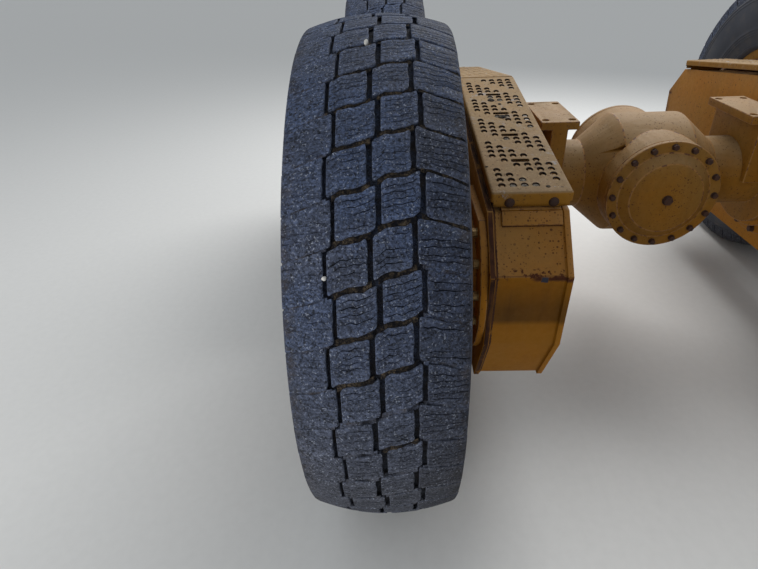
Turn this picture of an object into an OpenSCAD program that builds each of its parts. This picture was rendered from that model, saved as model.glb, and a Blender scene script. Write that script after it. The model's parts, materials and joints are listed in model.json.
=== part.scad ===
// Rear tandem drive axle of a motor grader: a centre housing between two
// swinging tandem cases, each with two wheels and a grip platform on top.
// +X points forward, +Y to the left and +Z up, in millimetres. The origin is
// on the ground, under the middle of the pivot axis.

/* [Wheel places] */
// Distance between the left and right wheel planes
track = 2060; // [2000:1:2200]
// Distance between the rear and front wheel centres
wheelbase = 1524; // [1460:1:1700]

/* [Tyres] */
// Diameter at the middle of the tread
tyre_d = 1370; // [1340:1:1400]
// Width across the sidewalls
tyre_w = 375; // [365:1:385]
// Width across the tread
tread_w = 350; // [335:1:355]
// Drop of the tread from its middle to its edge
crown_drop = 31; // [15:1:35]
// Radius at the edge of the tread
shoulder_r = 10; // [5:1:15]
// Thickness of the tyre under the tread
tread_t = 42; // [36:1:50]
// Thickness of the sidewall
sidewall_t = 18; // [14:1:24]
// Width of the tyre's foot on the rim
bead_w = 30; // [25:1:36]
// How far the sidewalls bulge past the rim's seats
bulge = 60.5; // [57:0.5:64]

/* [Tread] */
// Number of rows of blocks round a tyre
tread_rows = 48; // [44:1:52]
// Depth of the grooves between the blocks
groove_d = 10; // [8:1:12]
// Width of those grooves
groove_w = 12; // [9:1:14]
// Distance of the outer grooves round the tyre from its middle
groove_y = 82; // [74:1:90]
// Slant of the grooves across the tyre
groove_slant = 18; // [0:1:22]

/* [Rims] */
// Diameter of the seat for the tyre
rim_d = 610; // [600:1:620]
// Height of the flanges over the seat
flange_h = 36; // [28:1:42]
// Thickness of the flanges
flange_t = 12; // [9:1:16]
// Thickness of the rim's base
rim_t = 11; // [8:1:14]
// Depth of the well between the two seats
well_depth = 14; // [8:1:20]
// Thickness of the wheel disc
disc_t = 16; // [12:1:20]
// Radius of the flat middle of the disc
disc_flat_r = 205; // [200:1:220]
// How far the disc dishes outward on its way to the rim
dish_rise = 40; // [20:1:50]

/* [Hubs] */
// Face of the hub flange, outboard of the wheel plane
hub_face_y = 12; // [5:1:20]
// Radius of the hub flange
hub_flange_r = 192; // [190:1:198]
// Thickness of the hub flange
hub_flange_t = 32; // [26:1:40]
// Radius of the hub's barrel behind the flange
hub_barrel_r = 150; // [120:1:155]
// Length of the barrel behind the flange
hub_barrel_l = 75; // [60:1:82]
// Radius of the pilot that centres the disc
pilot_r = 140; // [130:1:145]
// Height of the pilot over the hub's face
pilot_h = 46; // [40:1:60]
// Radius of the cap on the pilot
cap_r = 112; // [100:1:120]
// Height of the cap over the pilot
cap_h = 26; // [18:1:34]
// Number of wheel studs
studs = 10; // [8:1:12]
// Diameter of the circle through the studs
stud_pcd = 335; // [333:1:340]
// Radius of a stud
stud_r = 11; // [9:0.5:11.5]
// Height of a stud over the hub's face
stud_h = 48; // [44:1:56]
// Width of a wheel nut across its corners
nut_d = 38; // [34:1:40]
// Height of a wheel nut
nut_h = 22; // [18:1:24]

/* [Tandem cases] */
// Gap from the wheel plane to the case's outer side
case_offset = 272; // [268:1:285]
// Width of a case across its side plates
case_w = 211; // [205:1:225]
// Thickness of the side plates
side_t = 16; // [12:1:20]
// Thickness of the plate wrapped round the case
wrap_t = 12; // [8:1:16]
// How far the side plates stand out past the wrapped plate
rib_h = 8; // [4:1:12]
// Distance of the ends of the case's top from the wheel centres
corner_x = 128; // [115:1:150]
// Height of those ends over the axle line
corner_h = 230; // [222:1:238]
// Distance of the crease in the end plate from the wheel centre
crease_x = 245; // [238:1:260]
// Height of the crease over the axle line
crease_h = 97; // [90:1:120]
// Distance of the bend under the end plate from the wheel centre
bend_x = 225; // [215:1:235]
// Depth of the bend under the axle line
bend_h = 130; // [115:1:150]
// Distance of the bottom's ends from the wheel centres
bottom_x = 114; // [90:1:150]
// Depth of the case's bottom under the axle line
bottom_h = 329; // [290:1:340]
// Slope of the case's top
top_slope = 7.5; // [5:0.5:9]

/* [Wheel spindles] */
// Radius of the round flange on the case
spindle_flange_r = 240; // [228:1:250]
// Thickness of that flange
spindle_flange_t = 20; // [16:1:26]
// Height of the flat on top of that flange over the axle line
spindle_flat_h = 205; // [195:1:225]
// Radius of the brake drum
brake_r = 172; // [160:1:180]
// Length of the brake drum
brake_l = 134; // [120:1:138]
// Radius of the spindle in the hub
spindle_r = 90; // [75:1:95]
// How far the spindle reaches past the hub's face
spindle_out = 6; // [0:1:10]
// Radius of the spigot in the case
spigot_r = 120; // [100:1:130]
// How far the spigot reaches into the case
spigot_l = 20; // [17:1:28]

/* [Pivots] */
// Radius of the trunnion that the case swings on
trunnion_r = 170; // [160:1:180]
// How far the trunnion reaches into the case
trunnion_in = 80; // [50:1:100]
// Radius of the pivot housing on the case
pivot_r = 235; // [225:1:245]
// Width of the pivot housing
pivot_w = 62; // [55:1:72]
// Radius of the pivot housing's flange
pivot_flange_r = 272; // [262:1:280]
// Thickness of the pivot housing's flange
pivot_flange_t = 20; // [16:1:26]
// Radius of the cover on the case's outer side
cover_r = 165; // [150:1:180]
// Thickness of that cover
cover_t = 14; // [10:1:18]
// Radius of the boss in the middle of the cover
cover_boss_r = 62; // [50:1:75]
// Height of that boss
cover_boss_h = 16; // [8:1:20]

/* [Centre housing] */
// Radius of the axle tubes
tube_r = 135; // [120:1:140]
// Radius of the housing round the gears
bowl_r = 235; // [225:1:240]
// Half width of the housing round the gears
bowl_half_w = 130; // [115:1:145]
// Length of bare tube between the housing's shoulder and the saddle's web
bare_tube = 100; // [80:1:115]
// Radius of the thrust collar beside the pivot housing
collar_r = 215; // [205:1:225]
// Thickness of the thrust collar
collar_t = 30; // [20:1:36]
// Radius of the front and rear faces
face_r = 205; // [195:1:212]
// Distance of the front and rear faces from the axle line
face_x = 250; // [245:1:262]
// Thickness of the flanges bolted to those faces
cover_flange_t = 20; // [14:1:26]
// Depth of the domed rear cover past its flange
dome_h = 38; // [25:1:50]
// Radius of the dome where it leaves its flange
dome_r = 165; // [150:1:175]

/* [Drive input] */
// Radius of the pinion housing behind its nose
nose_base_r = 150; // [140:1:160]
// Radius of the pinion housing at its nose
nose_r = 84; // [78:1:90]
// Length of the pinion housing past its flange
nose_l = 132; // [115:1:150]
// Radius of the drive flange
drive_r = 96; // [92:1:105]
// Thickness of the drive flange
drive_t = 16; // [12:1:20]
// Radius of the drive flange's hub
drive_hub_r = 52; // [45:1:58]
// Length of the drive flange's hub
drive_hub_l = 28; // [20:1:36]
// Diameter of the circle through the drive flange's holes
drive_pcd = 155; // [150:1:165]
// Number of holes in the drive flange
drive_holes = 8; // [6:1:10]
// Radius of those holes
drive_hole_r = 6.5; // [5.5:0.5:7]

/* [Frame saddles] */
// Gap from the thrust collar to a saddle's web
saddle_gap = 40; // [30:1:60]
// Length of a saddle's pad
saddle_l = 320; // [310:1:340]
// Width of a saddle's pad
saddle_w = 140; // [136:1:144]
// Thickness of a saddle's pad
pad_t = 30; // [24:1:36]
// Height of the pad's top over the axle line
saddle_h = 255; // [245:1:275]
// Width of the web under the pad
web_w = 60; // [48:1:66]
// Distance between the pad's holes along the machine
pad_hole_x = 250; // [230:1:270]
// Distance between the pad's holes across the machine
pad_hole_y = 98; // [96:1:102]
// Radius of the pad's holes
pad_hole_r = 13; // [11:0.5:14]

/* [Platforms] */
// Width of a platform
platform_w = 209; // [200:1:215]
// Height of the platform's top over the case's top
platform_gap = 45; // [43:1:55]
// Distance of the platform's ends from the pivot
platform_x = 882; // [860:1:900]
// Gap from the wheel plane to the platform's outer edge
platform_offset = 282.5; // [276:0.5:284]
// Thickness of the platform's sheet
sheet_t = 5; // [4:0.5:6]
// Height of the turned-down lips at a panel's ends
end_lip_h = 40; // [25:1:45]
// Height of the turned-down lips along a panel's sides
side_lip_h = 25; // [15:1:35]
// Gap that each panel leaves to the fold
fold_gap = 6; // [6:1:10]
// Columns of grip holes across a panel
hole_cols = 6; // [5:1:6]
// Distance between the columns
hole_dy = 29.4; // [28:0.2:31]
// Distance between the rows of grip holes
hole_dx = 28.6; // [26:0.1:31]
// Distance of the first row from a panel's edge at the fold
first_row_x = 43.6; // [38:0.2:50]
// Radius of a grip hole
hole_r = 9.6; // [8:0.2:10.6]
// Width of the tongue that is left in a grip hole
tongue_w = 9; // [6:0.5:11]
// How far the tongue reaches past the hole's middle
tongue_past = 1.3; // [0:0.1:3]
// Length of the drain slots between the grip holes
slot_l = 50; // [44:1:54]
// Width of the drain slots
slot_w = 17; // [10:1:18]
// Thickness of the brackets under the panels
bracket_t = 8; // [6:1:9]
// Width of the brackets
bracket_w = 155; // [140:1:158]
// Length of a bracket's foot
foot_l = 38; // [30:1:60]

/* [Hidden] */
// How far pieces that are fastened together lie apart
seat_gap = 0.3;
// Clearance of a shaft that turns in its bore
running_gap = 0.05;
// Clearance round what only passes through a hole
pass_gap = 3;
// Clearance from the thrust collar to the pivot housing
thrust_gap = 5;
// Clearance from the hub's barrel to the brake drum
hub_gap = 16;
// Fineness of round pieces
$fn = 96;
// Steps along the curves of the tyre's section: between two grooves, round
// the edge of the tread, and down the sidewall
tread_steps = 1;
edge_steps = 2;
wall_steps = 4;

axle_z = tyre_d / 2;
rim_r = rim_d / 2;
rim_w = tyre_w - 2 * bulge;
wheel_y = track / 2;
wheel_x = wheelbase / 2;
case_out_y = wheel_y - case_offset;
case_in_y = case_out_y - case_w;
// Outboard distances from the wheel plane, as the spindle's parts use them
flange_seat = seat_gap - case_offset;
flange_face = flange_seat + spindle_flange_t;
barrel_end = hub_face_y - hub_flange_t - hub_barrel_l;
drum_end = min(flange_face + brake_l, barrel_end - hub_gap);
spindle_end = hub_face_y + spindle_out;
// The platform's outer edge and the height of the case's top at the pivot
platform_out_y = wheel_y - platform_offset;
corner_at = wheel_x + corner_x;
case_top_z = axle_z + corner_h + corner_at * tan(top_slope);
platform_top_z = case_top_z + platform_gap;
panel_l = platform_x / cos(top_slope) - fold_gap;
// Height from the wrapped plate to the underside of a panel's sheet
bracket_h = (platform_gap * cos(top_slope)) + rib_h - sheet_t - 2 * seat_gap;
collar_y = case_in_y - pivot_w - thrust_gap;
saddle_y = collar_y - collar_t - saddle_gap - web_w / 2;
shoulder_y = saddle_y - web_w / 2 - bare_tube;

// Name and sign of each side, and of each end
SIDES = [["left", 1], ["right", -1]];
ENDS = [["rear", -1], ["front", 1]];
CORNERS = [for (s = SIDES, e = ENDS) [str(s[0], "_", e[0]), s[1], e[1]]];
CORNER_PIECES = ["tyre", "rim", "lock_ring", "hub", "spindle", "platform"];
SIDE_PIECES = ["case", "pivot_housing", "pivot_cover", "brackets"];
CENTRE_PIECES = ["axle_housing", "rear_cover", "pinion_housing", "drive_flange"];

NODES = [
    for (n = CENTRE_PIECES) n,
    for (s = SIDES) str(s[0], "_saddle"),
    for (s = SIDES, n = SIDE_PIECES) str(s[0], "_", n),
    for (c = CORNERS, n = CORNER_PIECES) str(c[0], "_", n)
];
node = "all";

paint = [0.80, 0.58, 0.16];
dusty_paint = [0.82, 0.66, 0.34];
rubber = [0.20, 0.22, 0.25];
steel = [0.45, 0.42, 0.38];

function inward(a, b) = [-(b - a)[1], (b - a)[0]] / norm(b - a);
// A closed outline, counterclockwise, moved inward by d along every edge
function inset(pts, d) = [
    for (i = [0:len(pts) - 1])
        let (last = pts[(i + len(pts) - 1) % len(pts)], next = pts[(i + 1) % len(pts)],
             n0 = inward(last, pts[i]), n1 = inward(pts[i], next))
            pts[i] + d * (n0 + n1) / (1 + n0 * n1)
];
function reversed(list) = [for (i = [len(list) - 1:-1:0]) list[i]];
function flipped(pts) = [for (p = pts) [p[0], -p[1]]];

// Shapes drawn as [radius, distance along the axis] turn about Y or X
module about_y() { rotate([-90, 0, 0]) rotate_extrude() children(); }
module about_x() { rotate([0, 90, 0]) rotate_extrude() children(); }
// A rod from y0 to y1 along Y
module rod_y(r, y0, y1) { translate([0, y0, 0]) rotate([-90, 0, 0]) cylinder(r = r, h = y1 - y0); }
// A rod from x0 to x1 along X
module rod_x(r, x0, x1) { translate([x0, 0, 0]) rotate([0, 90, 0]) cylinder(r = r, h = x1 - x0); }
// The left side's pieces, or their mirror image for the right side
module on_side(s) { mirror([0, s < 0 ? 1 : 0, 0]) children(); }
// A wheel's pieces, drawn about its centre with +Y outboard
module at_wheel(c) { on_side(c[1]) translate([c[2] * wheel_x, wheel_y, axle_z]) children(); }
module at_pivot(s) { on_side(s) translate([0, 0, axle_z]) children(); }

// Tyre section
half_tread = tread_w / 2;
edge_angle = atan(2 * crown_drop / half_tread);
edge_y = half_tread - shoulder_r * (1 - sin(edge_angle));
// The crown is level over the middle groove and falls away to the tread's edge
level_y = groove_w / 2;
function crown_r(y) = axle_z - crown_drop * pow(max(0, abs(y) - level_y) / (half_tread - level_y), 2);
shoulder_centre = [crown_r(edge_y) - shoulder_r * cos(edge_angle), half_tread - shoulder_r];
widest_r = (shoulder_centre[0] + rim_r) / 2 + 20;
foot_r = rim_r + flange_h + 8;
foot_y = rim_w / 2 + flange_t + 12;
function wall_y(r) = r > widest_r
    ? tyre_w / 2 - (tyre_w - tread_w) / 2 * pow((r - widest_r) / (shoulder_centre[0] - widest_r), 2)
    : tyre_w / 2 - (tyre_w / 2 - foot_y) * pow((widest_r - r) / (widest_r - foot_r), 2);
function between(a, b, n) = [for (i = [0:n]) a + (b - a) * i / n];
bead_r = rim_r + seat_gap;
bead_y = rim_w / 2 - seat_gap;
outer_half = concat(
    [[axle_z, 0]],
    [for (y = between(level_y, groove_y, tread_steps)) [crown_r(y), y]],
    [for (y = between(groove_y, edge_y, tread_steps)) [crown_r(y), y]],
    [for (a = between(edge_angle, 90, edge_steps)) shoulder_centre + shoulder_r * [cos(a), sin(a)]],
    [for (r = between(shoulder_centre[0] - shoulder_r, foot_r, 2 * wall_steps)) [r, wall_y(r)]],
    [[foot_r - 6, bead_y], [bead_r, bead_y]]
);
inner_half = concat(
    [[bead_r, bead_y - bead_w], [foot_r, bead_y - bead_w + sidewall_t / 2]],
    [for (r = between(foot_r + 30, shoulder_centre[0] - tread_t, wall_steps)) [r, wall_y(r) - sidewall_t]],
    [for (y = between(half_tread - 2 * sidewall_t, 0, wall_steps)) [crown_r(y) - tread_t, y]]
);
half_section = concat(outer_half, inner_half);

// Grooves round the tyre
module round_grooves() {
    about_y() for (y = [-groove_y, 0, groove_y])
        translate([crown_r(y) - groove_d, y - groove_w / 2]) square([2 * groove_d, groove_w]);
}

// Grooves across the tyre: straight over its middle, then down over each
// shoulder, whose two grooves both slant towards the rear at their outer ends
floor_r = crown_r(groove_y) - groove_d;
shoulder_tilt = atan((crown_r(groove_y) - crown_r(half_tread)) / (half_tread - groove_y));

module shoulder_groove(z) {
    translate([floor_r, groove_y, z]) rotate([groove_slant, 0, 0]) rotate([0, 0, shoulder_tilt])
        translate([0, 0, -groove_w / 2]) cube([3 * groove_d, half_tread, groove_w]);
}

module cross_groove() {
    reach = groove_y / cos(groove_slant);
    rotate([groove_slant, 0, 0]) translate([floor_r, -reach, -groove_w / 2])
        cube([crown_drop + groove_d, 2 * reach, groove_w]);
    shoulder_groove(groove_y * tan(groove_slant));
    mirror([0, 1, 0]) shoulder_groove(-groove_y * tan(groove_slant));
}

module tyre() {
    color(rubber) difference() {
        about_y() {
            polygon(half_section);
            polygon(reversed(flipped(half_section)));
        }
        round_grooves();
        for (i = [0:tread_rows - 1]) rotate([0, (i + 0.5) * 360 / tread_rows, 0]) cross_groove();
    }
}

// Rim: the base with its inner flange, and the dished disc welded in it
seat_end = rim_w / 2 - bead_w - 8;
well_r = rim_r - well_depth;
gutter_r = rim_r - 4;
base_in_r = well_r - rim_t;
ring_w = flange_t + 8;

module rim_base() {
    about_y() polygon([
        [rim_r + flange_h, -rim_w / 2 - flange_t],
        [rim_r + flange_h, -rim_w / 2],
        [rim_r, -rim_w / 2],
        [rim_r, -seat_end],
        [well_r, -seat_end + well_depth],
        [well_r, seat_end - well_depth],
        [rim_r, seat_end],
        [rim_r, rim_w / 2],
        [gutter_r, rim_w / 2],
        [gutter_r, rim_w / 2 + ring_w],
        [gutter_r - rim_t, rim_w / 2 + ring_w],
        [rim_r - rim_t, seat_end],
        [base_in_r, seat_end - well_depth],
        [base_in_r, well_depth - seat_end],
        [rim_r - rim_t, -seat_end],
        [rim_r - rim_t, -rim_w / 2 - flange_t]
    ]);
}

module disc() {
    face = hub_face_y + seat_gap;
    about_y() polygon([
        [pilot_r + seat_gap, face],
        [disc_flat_r, face],
        [base_in_r + 2, face + dish_rise],
        [base_in_r + 2, face + dish_rise + disc_t],
        [disc_flat_r - 4, face + disc_t],
        [pilot_r + seat_gap, face + disc_t]
    ]);
}

module stud_circle() {
    for (i = [0:studs - 1]) rotate([0, i * 360 / studs, 0]) translate([stud_pcd / 2, 0, 0]) children();
}

module rim() {
    color(paint) {
        rim_base();
        difference() {
            disc();
            stud_circle() rod_y(stud_r + 1.5, 0, hub_face_y + disc_t + pass_gap);
        }
    }
}

// Lock ring: the outer flange, held in the rim's gutter
module lock_ring() {
    color(paint) about_y() polygon([
        [gutter_r + seat_gap, rim_w / 2 + seat_gap],
        [rim_r + flange_h, rim_w / 2 + seat_gap],
        [rim_r + flange_h, rim_w / 2 + flange_t],
        [rim_r + 12, rim_w / 2 + ring_w],
        [gutter_r + seat_gap, rim_w / 2 + ring_w]
    ]);
}

// Hub with its studs and nuts, turning on the spindle
module hub() {
    bore_r = spindle_r + running_gap;
    pilot_end = hub_face_y + pilot_h;
    nut_y = hub_face_y + disc_t + 2 * seat_gap;
    color(paint) {
        about_y() polygon([
            [bore_r, barrel_end],
            [hub_barrel_r, barrel_end],
            [hub_barrel_r, hub_face_y - hub_flange_t],
            [hub_flange_r, hub_face_y - hub_flange_t],
            [hub_flange_r, hub_face_y],
            [pilot_r, hub_face_y],
            [pilot_r, pilot_end],
            [cap_r, pilot_end],
            [cap_r - 6, pilot_end + cap_h],
            [0, pilot_end + cap_h],
            [0, spindle_end + pass_gap],
            [bore_r, spindle_end + pass_gap]
        ]);
        stud_circle() rod_y(stud_r, hub_face_y - hub_flange_t / 2, hub_face_y + stud_h);
        stud_circle() translate([0, nut_y, 0]) rotate([-90, 0, 0]) cylinder(d = nut_d, h = nut_h, $fn = 6);
    }
}

// Spindle: the flange and spigot on the case, the brake drum and the spindle.
// The flange is flat on top.
module spindle() {
    color(paint) difference() {
        about_y() polygon([
            [0, -case_offset - spigot_l],
            [spigot_r, -case_offset - spigot_l],
            [spigot_r, flange_seat],
            [spindle_flange_r, flange_seat],
            [spindle_flange_r, flange_face],
            [brake_r, flange_face],
            [brake_r, drum_end],
            [spindle_r, drum_end],
            [spindle_r, spindle_end],
            [0, spindle_end]
        ]);
        translate([-spindle_flange_r, flange_seat - 1, spindle_flat_h])
            cube([2 * spindle_flange_r, spindle_flange_t + 2, spindle_flange_r]);
    }
}

// Tandem case: two side plates and the plate wrapped round between them
half_outline = [
    [0, case_top_z - axle_z],
    [-corner_at, corner_h],
    [-wheel_x - crease_x, crease_h],
    [-wheel_x - bend_x, -bend_h],
    [-wheel_x - bottom_x, -bottom_h]
];
outline = concat(half_outline, [for (p = reversed(half_outline)) if (p[0] != 0) [-p[0], p[1]]]);

module side_profile(d) { polygon(inset(outline, d)); }
// A plate with the case's outline from y0 to y1
module slab(y0, y1) { translate([0, y1, 0]) rotate([90, 0, 0]) linear_extrude(y1 - y0) children(); }
module at_both_wheels() { for (e = ENDS) translate([e[1] * wheel_x, 0, 0]) children(); }

module case() {
    color(paint) difference() {
        union() {
            slab(case_out_y - side_t, case_out_y) side_profile(0);
            slab(case_in_y, case_in_y + side_t) side_profile(0);
            slab(case_in_y + side_t / 2, case_out_y - side_t / 2) difference() {
                side_profile(rib_h);
                side_profile(rib_h + wrap_t);
            }
        }
        at_both_wheels() rod_y(spigot_r + seat_gap, case_out_y - side_t - 1, case_out_y + 1);
        rod_y(trunnion_r + pass_gap, case_in_y - 1, case_in_y + side_t + 1);
    }
}

// Pivot housing: the bearing ring on the case's inner side
module pivot_housing() {
    face = case_in_y - seat_gap;
    bore_r = trunnion_r + running_gap;
    color(paint) about_y() polygon([
        [bore_r, case_in_y - pivot_w],
        [pivot_r, case_in_y - pivot_w],
        [pivot_r, face - pivot_flange_t],
        [pivot_flange_r, face - pivot_flange_t],
        [pivot_flange_r, face],
        [bore_r, face]
    ]);
}

// Pivot cover on the case's outer side
module pivot_cover() {
    face = case_out_y + seat_gap;
    color(paint) {
        rod_y(cover_r, face, face + cover_t);
        rod_y(cover_boss_r, face + cover_t - 1, face + cover_t + cover_boss_h);
    }
}

// A panel's frame: x along its slope from the fold, z over its top
module on_panel(e) {
    translate([0, platform_out_y, platform_top_z])
        mirror([e < 0 ? 1 : 0, 0, 0]) rotate([0, top_slope, 0]) translate([fold_gap, 0, 0]) children();
}

// Grip holes run along each column, 4 of every 6 rows, and each column's run
// starts one row after its neighbour's. A drain slot takes the place of the
// two middle holes in every sixth row.
hole_run = 4;
hole_period = 6;
slot_cols = [2, 3];
hole_rows = floor((panel_l - 2 * sheet_t - slot_w / 2 - first_row_x) / hole_dx);

function has_hole(row, col) = (row + 2 * hole_period - 1 - col) % hole_period < hole_run;
function has_slot(row) = (row + 1) % hole_period == 0;
function in_slot(row, col) = has_slot(row) && (col == slot_cols[0] || col == slot_cols[1]);
function col_y(col) = -platform_w / 2 + (hole_cols - 1 - 2 * col) * hole_dy / 2;

// A round hole with a tongue that reaches in from the panel's end
module grip_hole() {
    tip_x = tongue_w / 2 - tongue_past;
    difference() {
        circle(hole_r);
        translate([tip_x, 0]) circle(tongue_w / 2);
        translate([tip_x, -tongue_w / 2]) square([hole_r, tongue_w]);
    }
}

module holes() {
    for (row = [0:hole_rows], col = [0:hole_cols - 1]) if (has_hole(row, col) && !in_slot(row, col))
        translate([first_row_x + row * hole_dx, col_y(col)]) grip_hole();
    for (row = [0:hole_rows]) if (has_slot(row))
        translate([first_row_x + row * hole_dx, (col_y(slot_cols[0]) + col_y(slot_cols[1])) / 2])
            square([slot_w, slot_l], center = true);
}

// Platform panel: a sheet with lips turned down on its four edges
module platform_panel() {
    color(dusty_paint) difference() {
        translate([0, -platform_w, -end_lip_h]) cube([panel_l, platform_w, end_lip_h]);
        translate([sheet_t, sheet_t - platform_w, -end_lip_h - 1])
            cube([panel_l - 2 * sheet_t, platform_w - 2 * sheet_t, end_lip_h - sheet_t + 1]);
        translate([sheet_t, -platform_w - 1, -end_lip_h - 1])
            cube([panel_l - 2 * sheet_t, platform_w + 2, end_lip_h - side_lip_h + 1]);
        translate([0, 0, -sheet_t - 1]) linear_extrude(sheet_t + 2) holes();
    }
}

// Brackets: an upright behind each end lip of a panel, on a foot that lies on
// the wrapped plate. The far foot is bent down over the case's sloping end.
near_x = sheet_t + seat_gap;
far_x = panel_l - near_x - bracket_t;
end_slope = atan2(corner_h - crease_h, crease_x - corner_x);
corner_l = corner_at / cos(top_slope) - fold_gap;

// The side view of what lies on a panel's slope, or on the case's end slope
module panel_side() {
    translate([0, platform_top_z - axle_z]) rotate(-top_slope) translate([fold_gap, 0]) children();
}
module end_side() { translate([corner_at, corner_h]) rotate(-end_slope) children(); }

module foot_side() {
    intersection() {
        difference() {
            side_profile(rib_h - seat_gap - bracket_t);
            side_profile(rib_h - seat_gap);
        }
        union() {
            panel_side() translate([near_x, -2 * bracket_h]) square([foot_l, 2 * bracket_h]);
            panel_side() translate([far_x, -2 * bracket_h]) square([corner_l - far_x, 2 * bracket_h]);
            end_side() translate([0, -bracket_h]) square([foot_l, 2 * bracket_h]);
        }
    }
}

module upright_side(x) {
    panel_side() translate([x, -sheet_t - seat_gap - bracket_h]) square([bracket_t, bracket_h]);
}

module brackets() {
    middle = platform_out_y - platform_w / 2;
    color(paint) for (e = ENDS)
        mirror([e[1] < 0 ? 1 : 0, 0, 0]) slab(middle - bracket_w / 2, middle + bracket_w / 2) {
            foot_side();
            upright_side(near_x);
            upright_side(far_x);
        }
}

// Centre housing: the bowl round the gears, the tubes, collars and trunnions
module axle_housing() {
    half = [
        [bowl_r, bowl_half_w],
        [tube_r, shoulder_y],
        [tube_r, collar_y - collar_t],
        [collar_r, collar_y - collar_t],
        [collar_r, collar_y],
        [trunnion_r, collar_y],
        [trunnion_r, case_in_y + trunnion_in]
    ];
    end = case_in_y + trunnion_in;
    color(paint) translate([0, 0, axle_z]) {
        about_y() polygon(concat(reversed(flipped(half)), half, [[0, end], [0, -end]]));
        rod_x(face_r, -face_x, face_x);
    }
}

// Domed cover on the rear face
module rear_cover() {
    start = face_x + seat_gap;
    color(paint) translate([0, 0, axle_z]) mirror([1, 0, 0]) about_x() polygon([
        [0, start],
        [face_r, start],
        [face_r, start + cover_flange_t],
        [dome_r, start + cover_flange_t],
        [dome_r * 0.8, start + cover_flange_t + dome_h * 0.7],
        [dome_r * 0.4, start + cover_flange_t + dome_h],
        [0, start + cover_flange_t + dome_h]
    ]);
}

// Pinion housing on the front face
nose_end = face_x + seat_gap + cover_flange_t + nose_l;
module pinion_housing() {
    start = face_x + seat_gap;
    color(paint) translate([0, 0, axle_z]) about_x() polygon([
        [0, start],
        [face_r, start],
        [face_r, start + cover_flange_t],
        [nose_base_r, start + cover_flange_t],
        [nose_r, nose_end - 30],
        [nose_r, nose_end],
        [0, nose_end]
    ]);
}

// Flange that the drive shaft bolts to
module drive_flange() {
    start = nose_end + seat_gap;
    face = start + drive_hub_l + drive_t;
    color(steel) translate([0, 0, axle_z]) difference() {
        union() {
            rod_x(drive_hub_r, start, face - 1);
            rod_x(drive_r, face - drive_t, face);
        }
        for (i = [0:drive_holes - 1]) rotate([i * 360 / drive_holes, 0, 0]) translate([0, drive_pcd / 2, 0])
            rod_x(drive_hole_r, face - drive_t - 1, face + 1);
    }
}

// Saddle over the axle tube, with the pad that the frame sits on
module saddle() {
    color(paint) translate([0, saddle_y, axle_z]) difference() {
        union() {
            translate([-saddle_l / 2, -saddle_w / 2, saddle_h - pad_t]) cube([saddle_l, saddle_w, pad_t]);
            translate([-saddle_l / 2, -web_w / 2, 0]) cube([saddle_l, web_w, saddle_h - pad_t / 2]);
        }
        rod_y(tube_r + seat_gap, -web_w, web_w);
        for (i = [-1, 1], j = [-1, 1])
            translate([i * pad_hole_x / 2, j * pad_hole_y / 2, saddle_h - pad_t - 1])
                cylinder(r = pad_hole_r, h = pad_t + 2);
    }
}

// Whether this node, or the whole part, is wanted
function wanted(name) = node == "all" || node == name;

if (wanted("axle_housing")) axle_housing();
if (wanted("rear_cover")) rear_cover();
if (wanted("pinion_housing")) pinion_housing();
if (wanted("drive_flange")) drive_flange();
for (s = SIDES) {
    if (wanted(str(s[0], "_saddle"))) on_side(s[1]) saddle();
    if (wanted(str(s[0], "_case"))) at_pivot(s[1]) case();
    if (wanted(str(s[0], "_pivot_housing"))) at_pivot(s[1]) pivot_housing();
    if (wanted(str(s[0], "_pivot_cover"))) at_pivot(s[1]) pivot_cover();
    if (wanted(str(s[0], "_brackets"))) at_pivot(s[1]) brackets();
}
for (c = CORNERS) {
    if (wanted(str(c[0], "_tyre"))) at_wheel(c) tyre();
    if (wanted(str(c[0], "_rim"))) at_wheel(c) rim();
    if (wanted(str(c[0], "_lock_ring"))) at_wheel(c) lock_ring();
    if (wanted(str(c[0], "_hub"))) at_wheel(c) hub();
    if (wanted(str(c[0], "_spindle"))) at_wheel(c) spindle();
    if (wanted(str(c[0], "_platform"))) on_side(c[1]) on_panel(c[2]) platform_panel();
}
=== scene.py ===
"""The looks of a motor grader's rear tandem axle: worn tyres, dusty ochre paint and grip platforms.

Lengths are in metres and angles in degrees, in the part's own frame: +X forward, +Y to the left, +Z up.
"""
import json
import random
from math import asin, atan, cos, hypot, pi, radians, sin, sqrt, tan

import bmesh
import bpy
import numpy as np
from mathutils import Matrix, Vector


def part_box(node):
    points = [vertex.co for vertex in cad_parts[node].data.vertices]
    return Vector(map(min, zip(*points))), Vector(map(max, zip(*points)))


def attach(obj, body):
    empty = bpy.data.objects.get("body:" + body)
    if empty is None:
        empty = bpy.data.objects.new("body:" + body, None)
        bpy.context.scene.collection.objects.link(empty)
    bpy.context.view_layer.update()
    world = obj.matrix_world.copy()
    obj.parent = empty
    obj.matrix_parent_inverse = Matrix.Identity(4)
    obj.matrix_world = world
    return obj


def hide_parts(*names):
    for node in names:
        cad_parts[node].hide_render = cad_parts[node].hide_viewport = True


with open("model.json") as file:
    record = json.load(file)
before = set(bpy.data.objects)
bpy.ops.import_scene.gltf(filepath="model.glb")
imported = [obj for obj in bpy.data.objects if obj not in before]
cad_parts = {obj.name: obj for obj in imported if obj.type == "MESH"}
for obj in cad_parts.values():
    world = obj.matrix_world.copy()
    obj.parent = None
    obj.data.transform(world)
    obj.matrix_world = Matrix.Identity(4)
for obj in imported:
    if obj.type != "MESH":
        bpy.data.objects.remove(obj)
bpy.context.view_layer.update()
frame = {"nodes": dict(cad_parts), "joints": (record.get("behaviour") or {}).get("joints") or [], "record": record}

# Places from the frame: the wheels and the swing axis lie on the joints
JOINTS = {joint["name"]: joint for joint in frame["joints"]}
BODY_OF = {node: body for body, nodes in frame["record"]["behaviour"]["bodies"].items() for node in nodes}
SIDES = [("left", 1), ("right", -1)]
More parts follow.
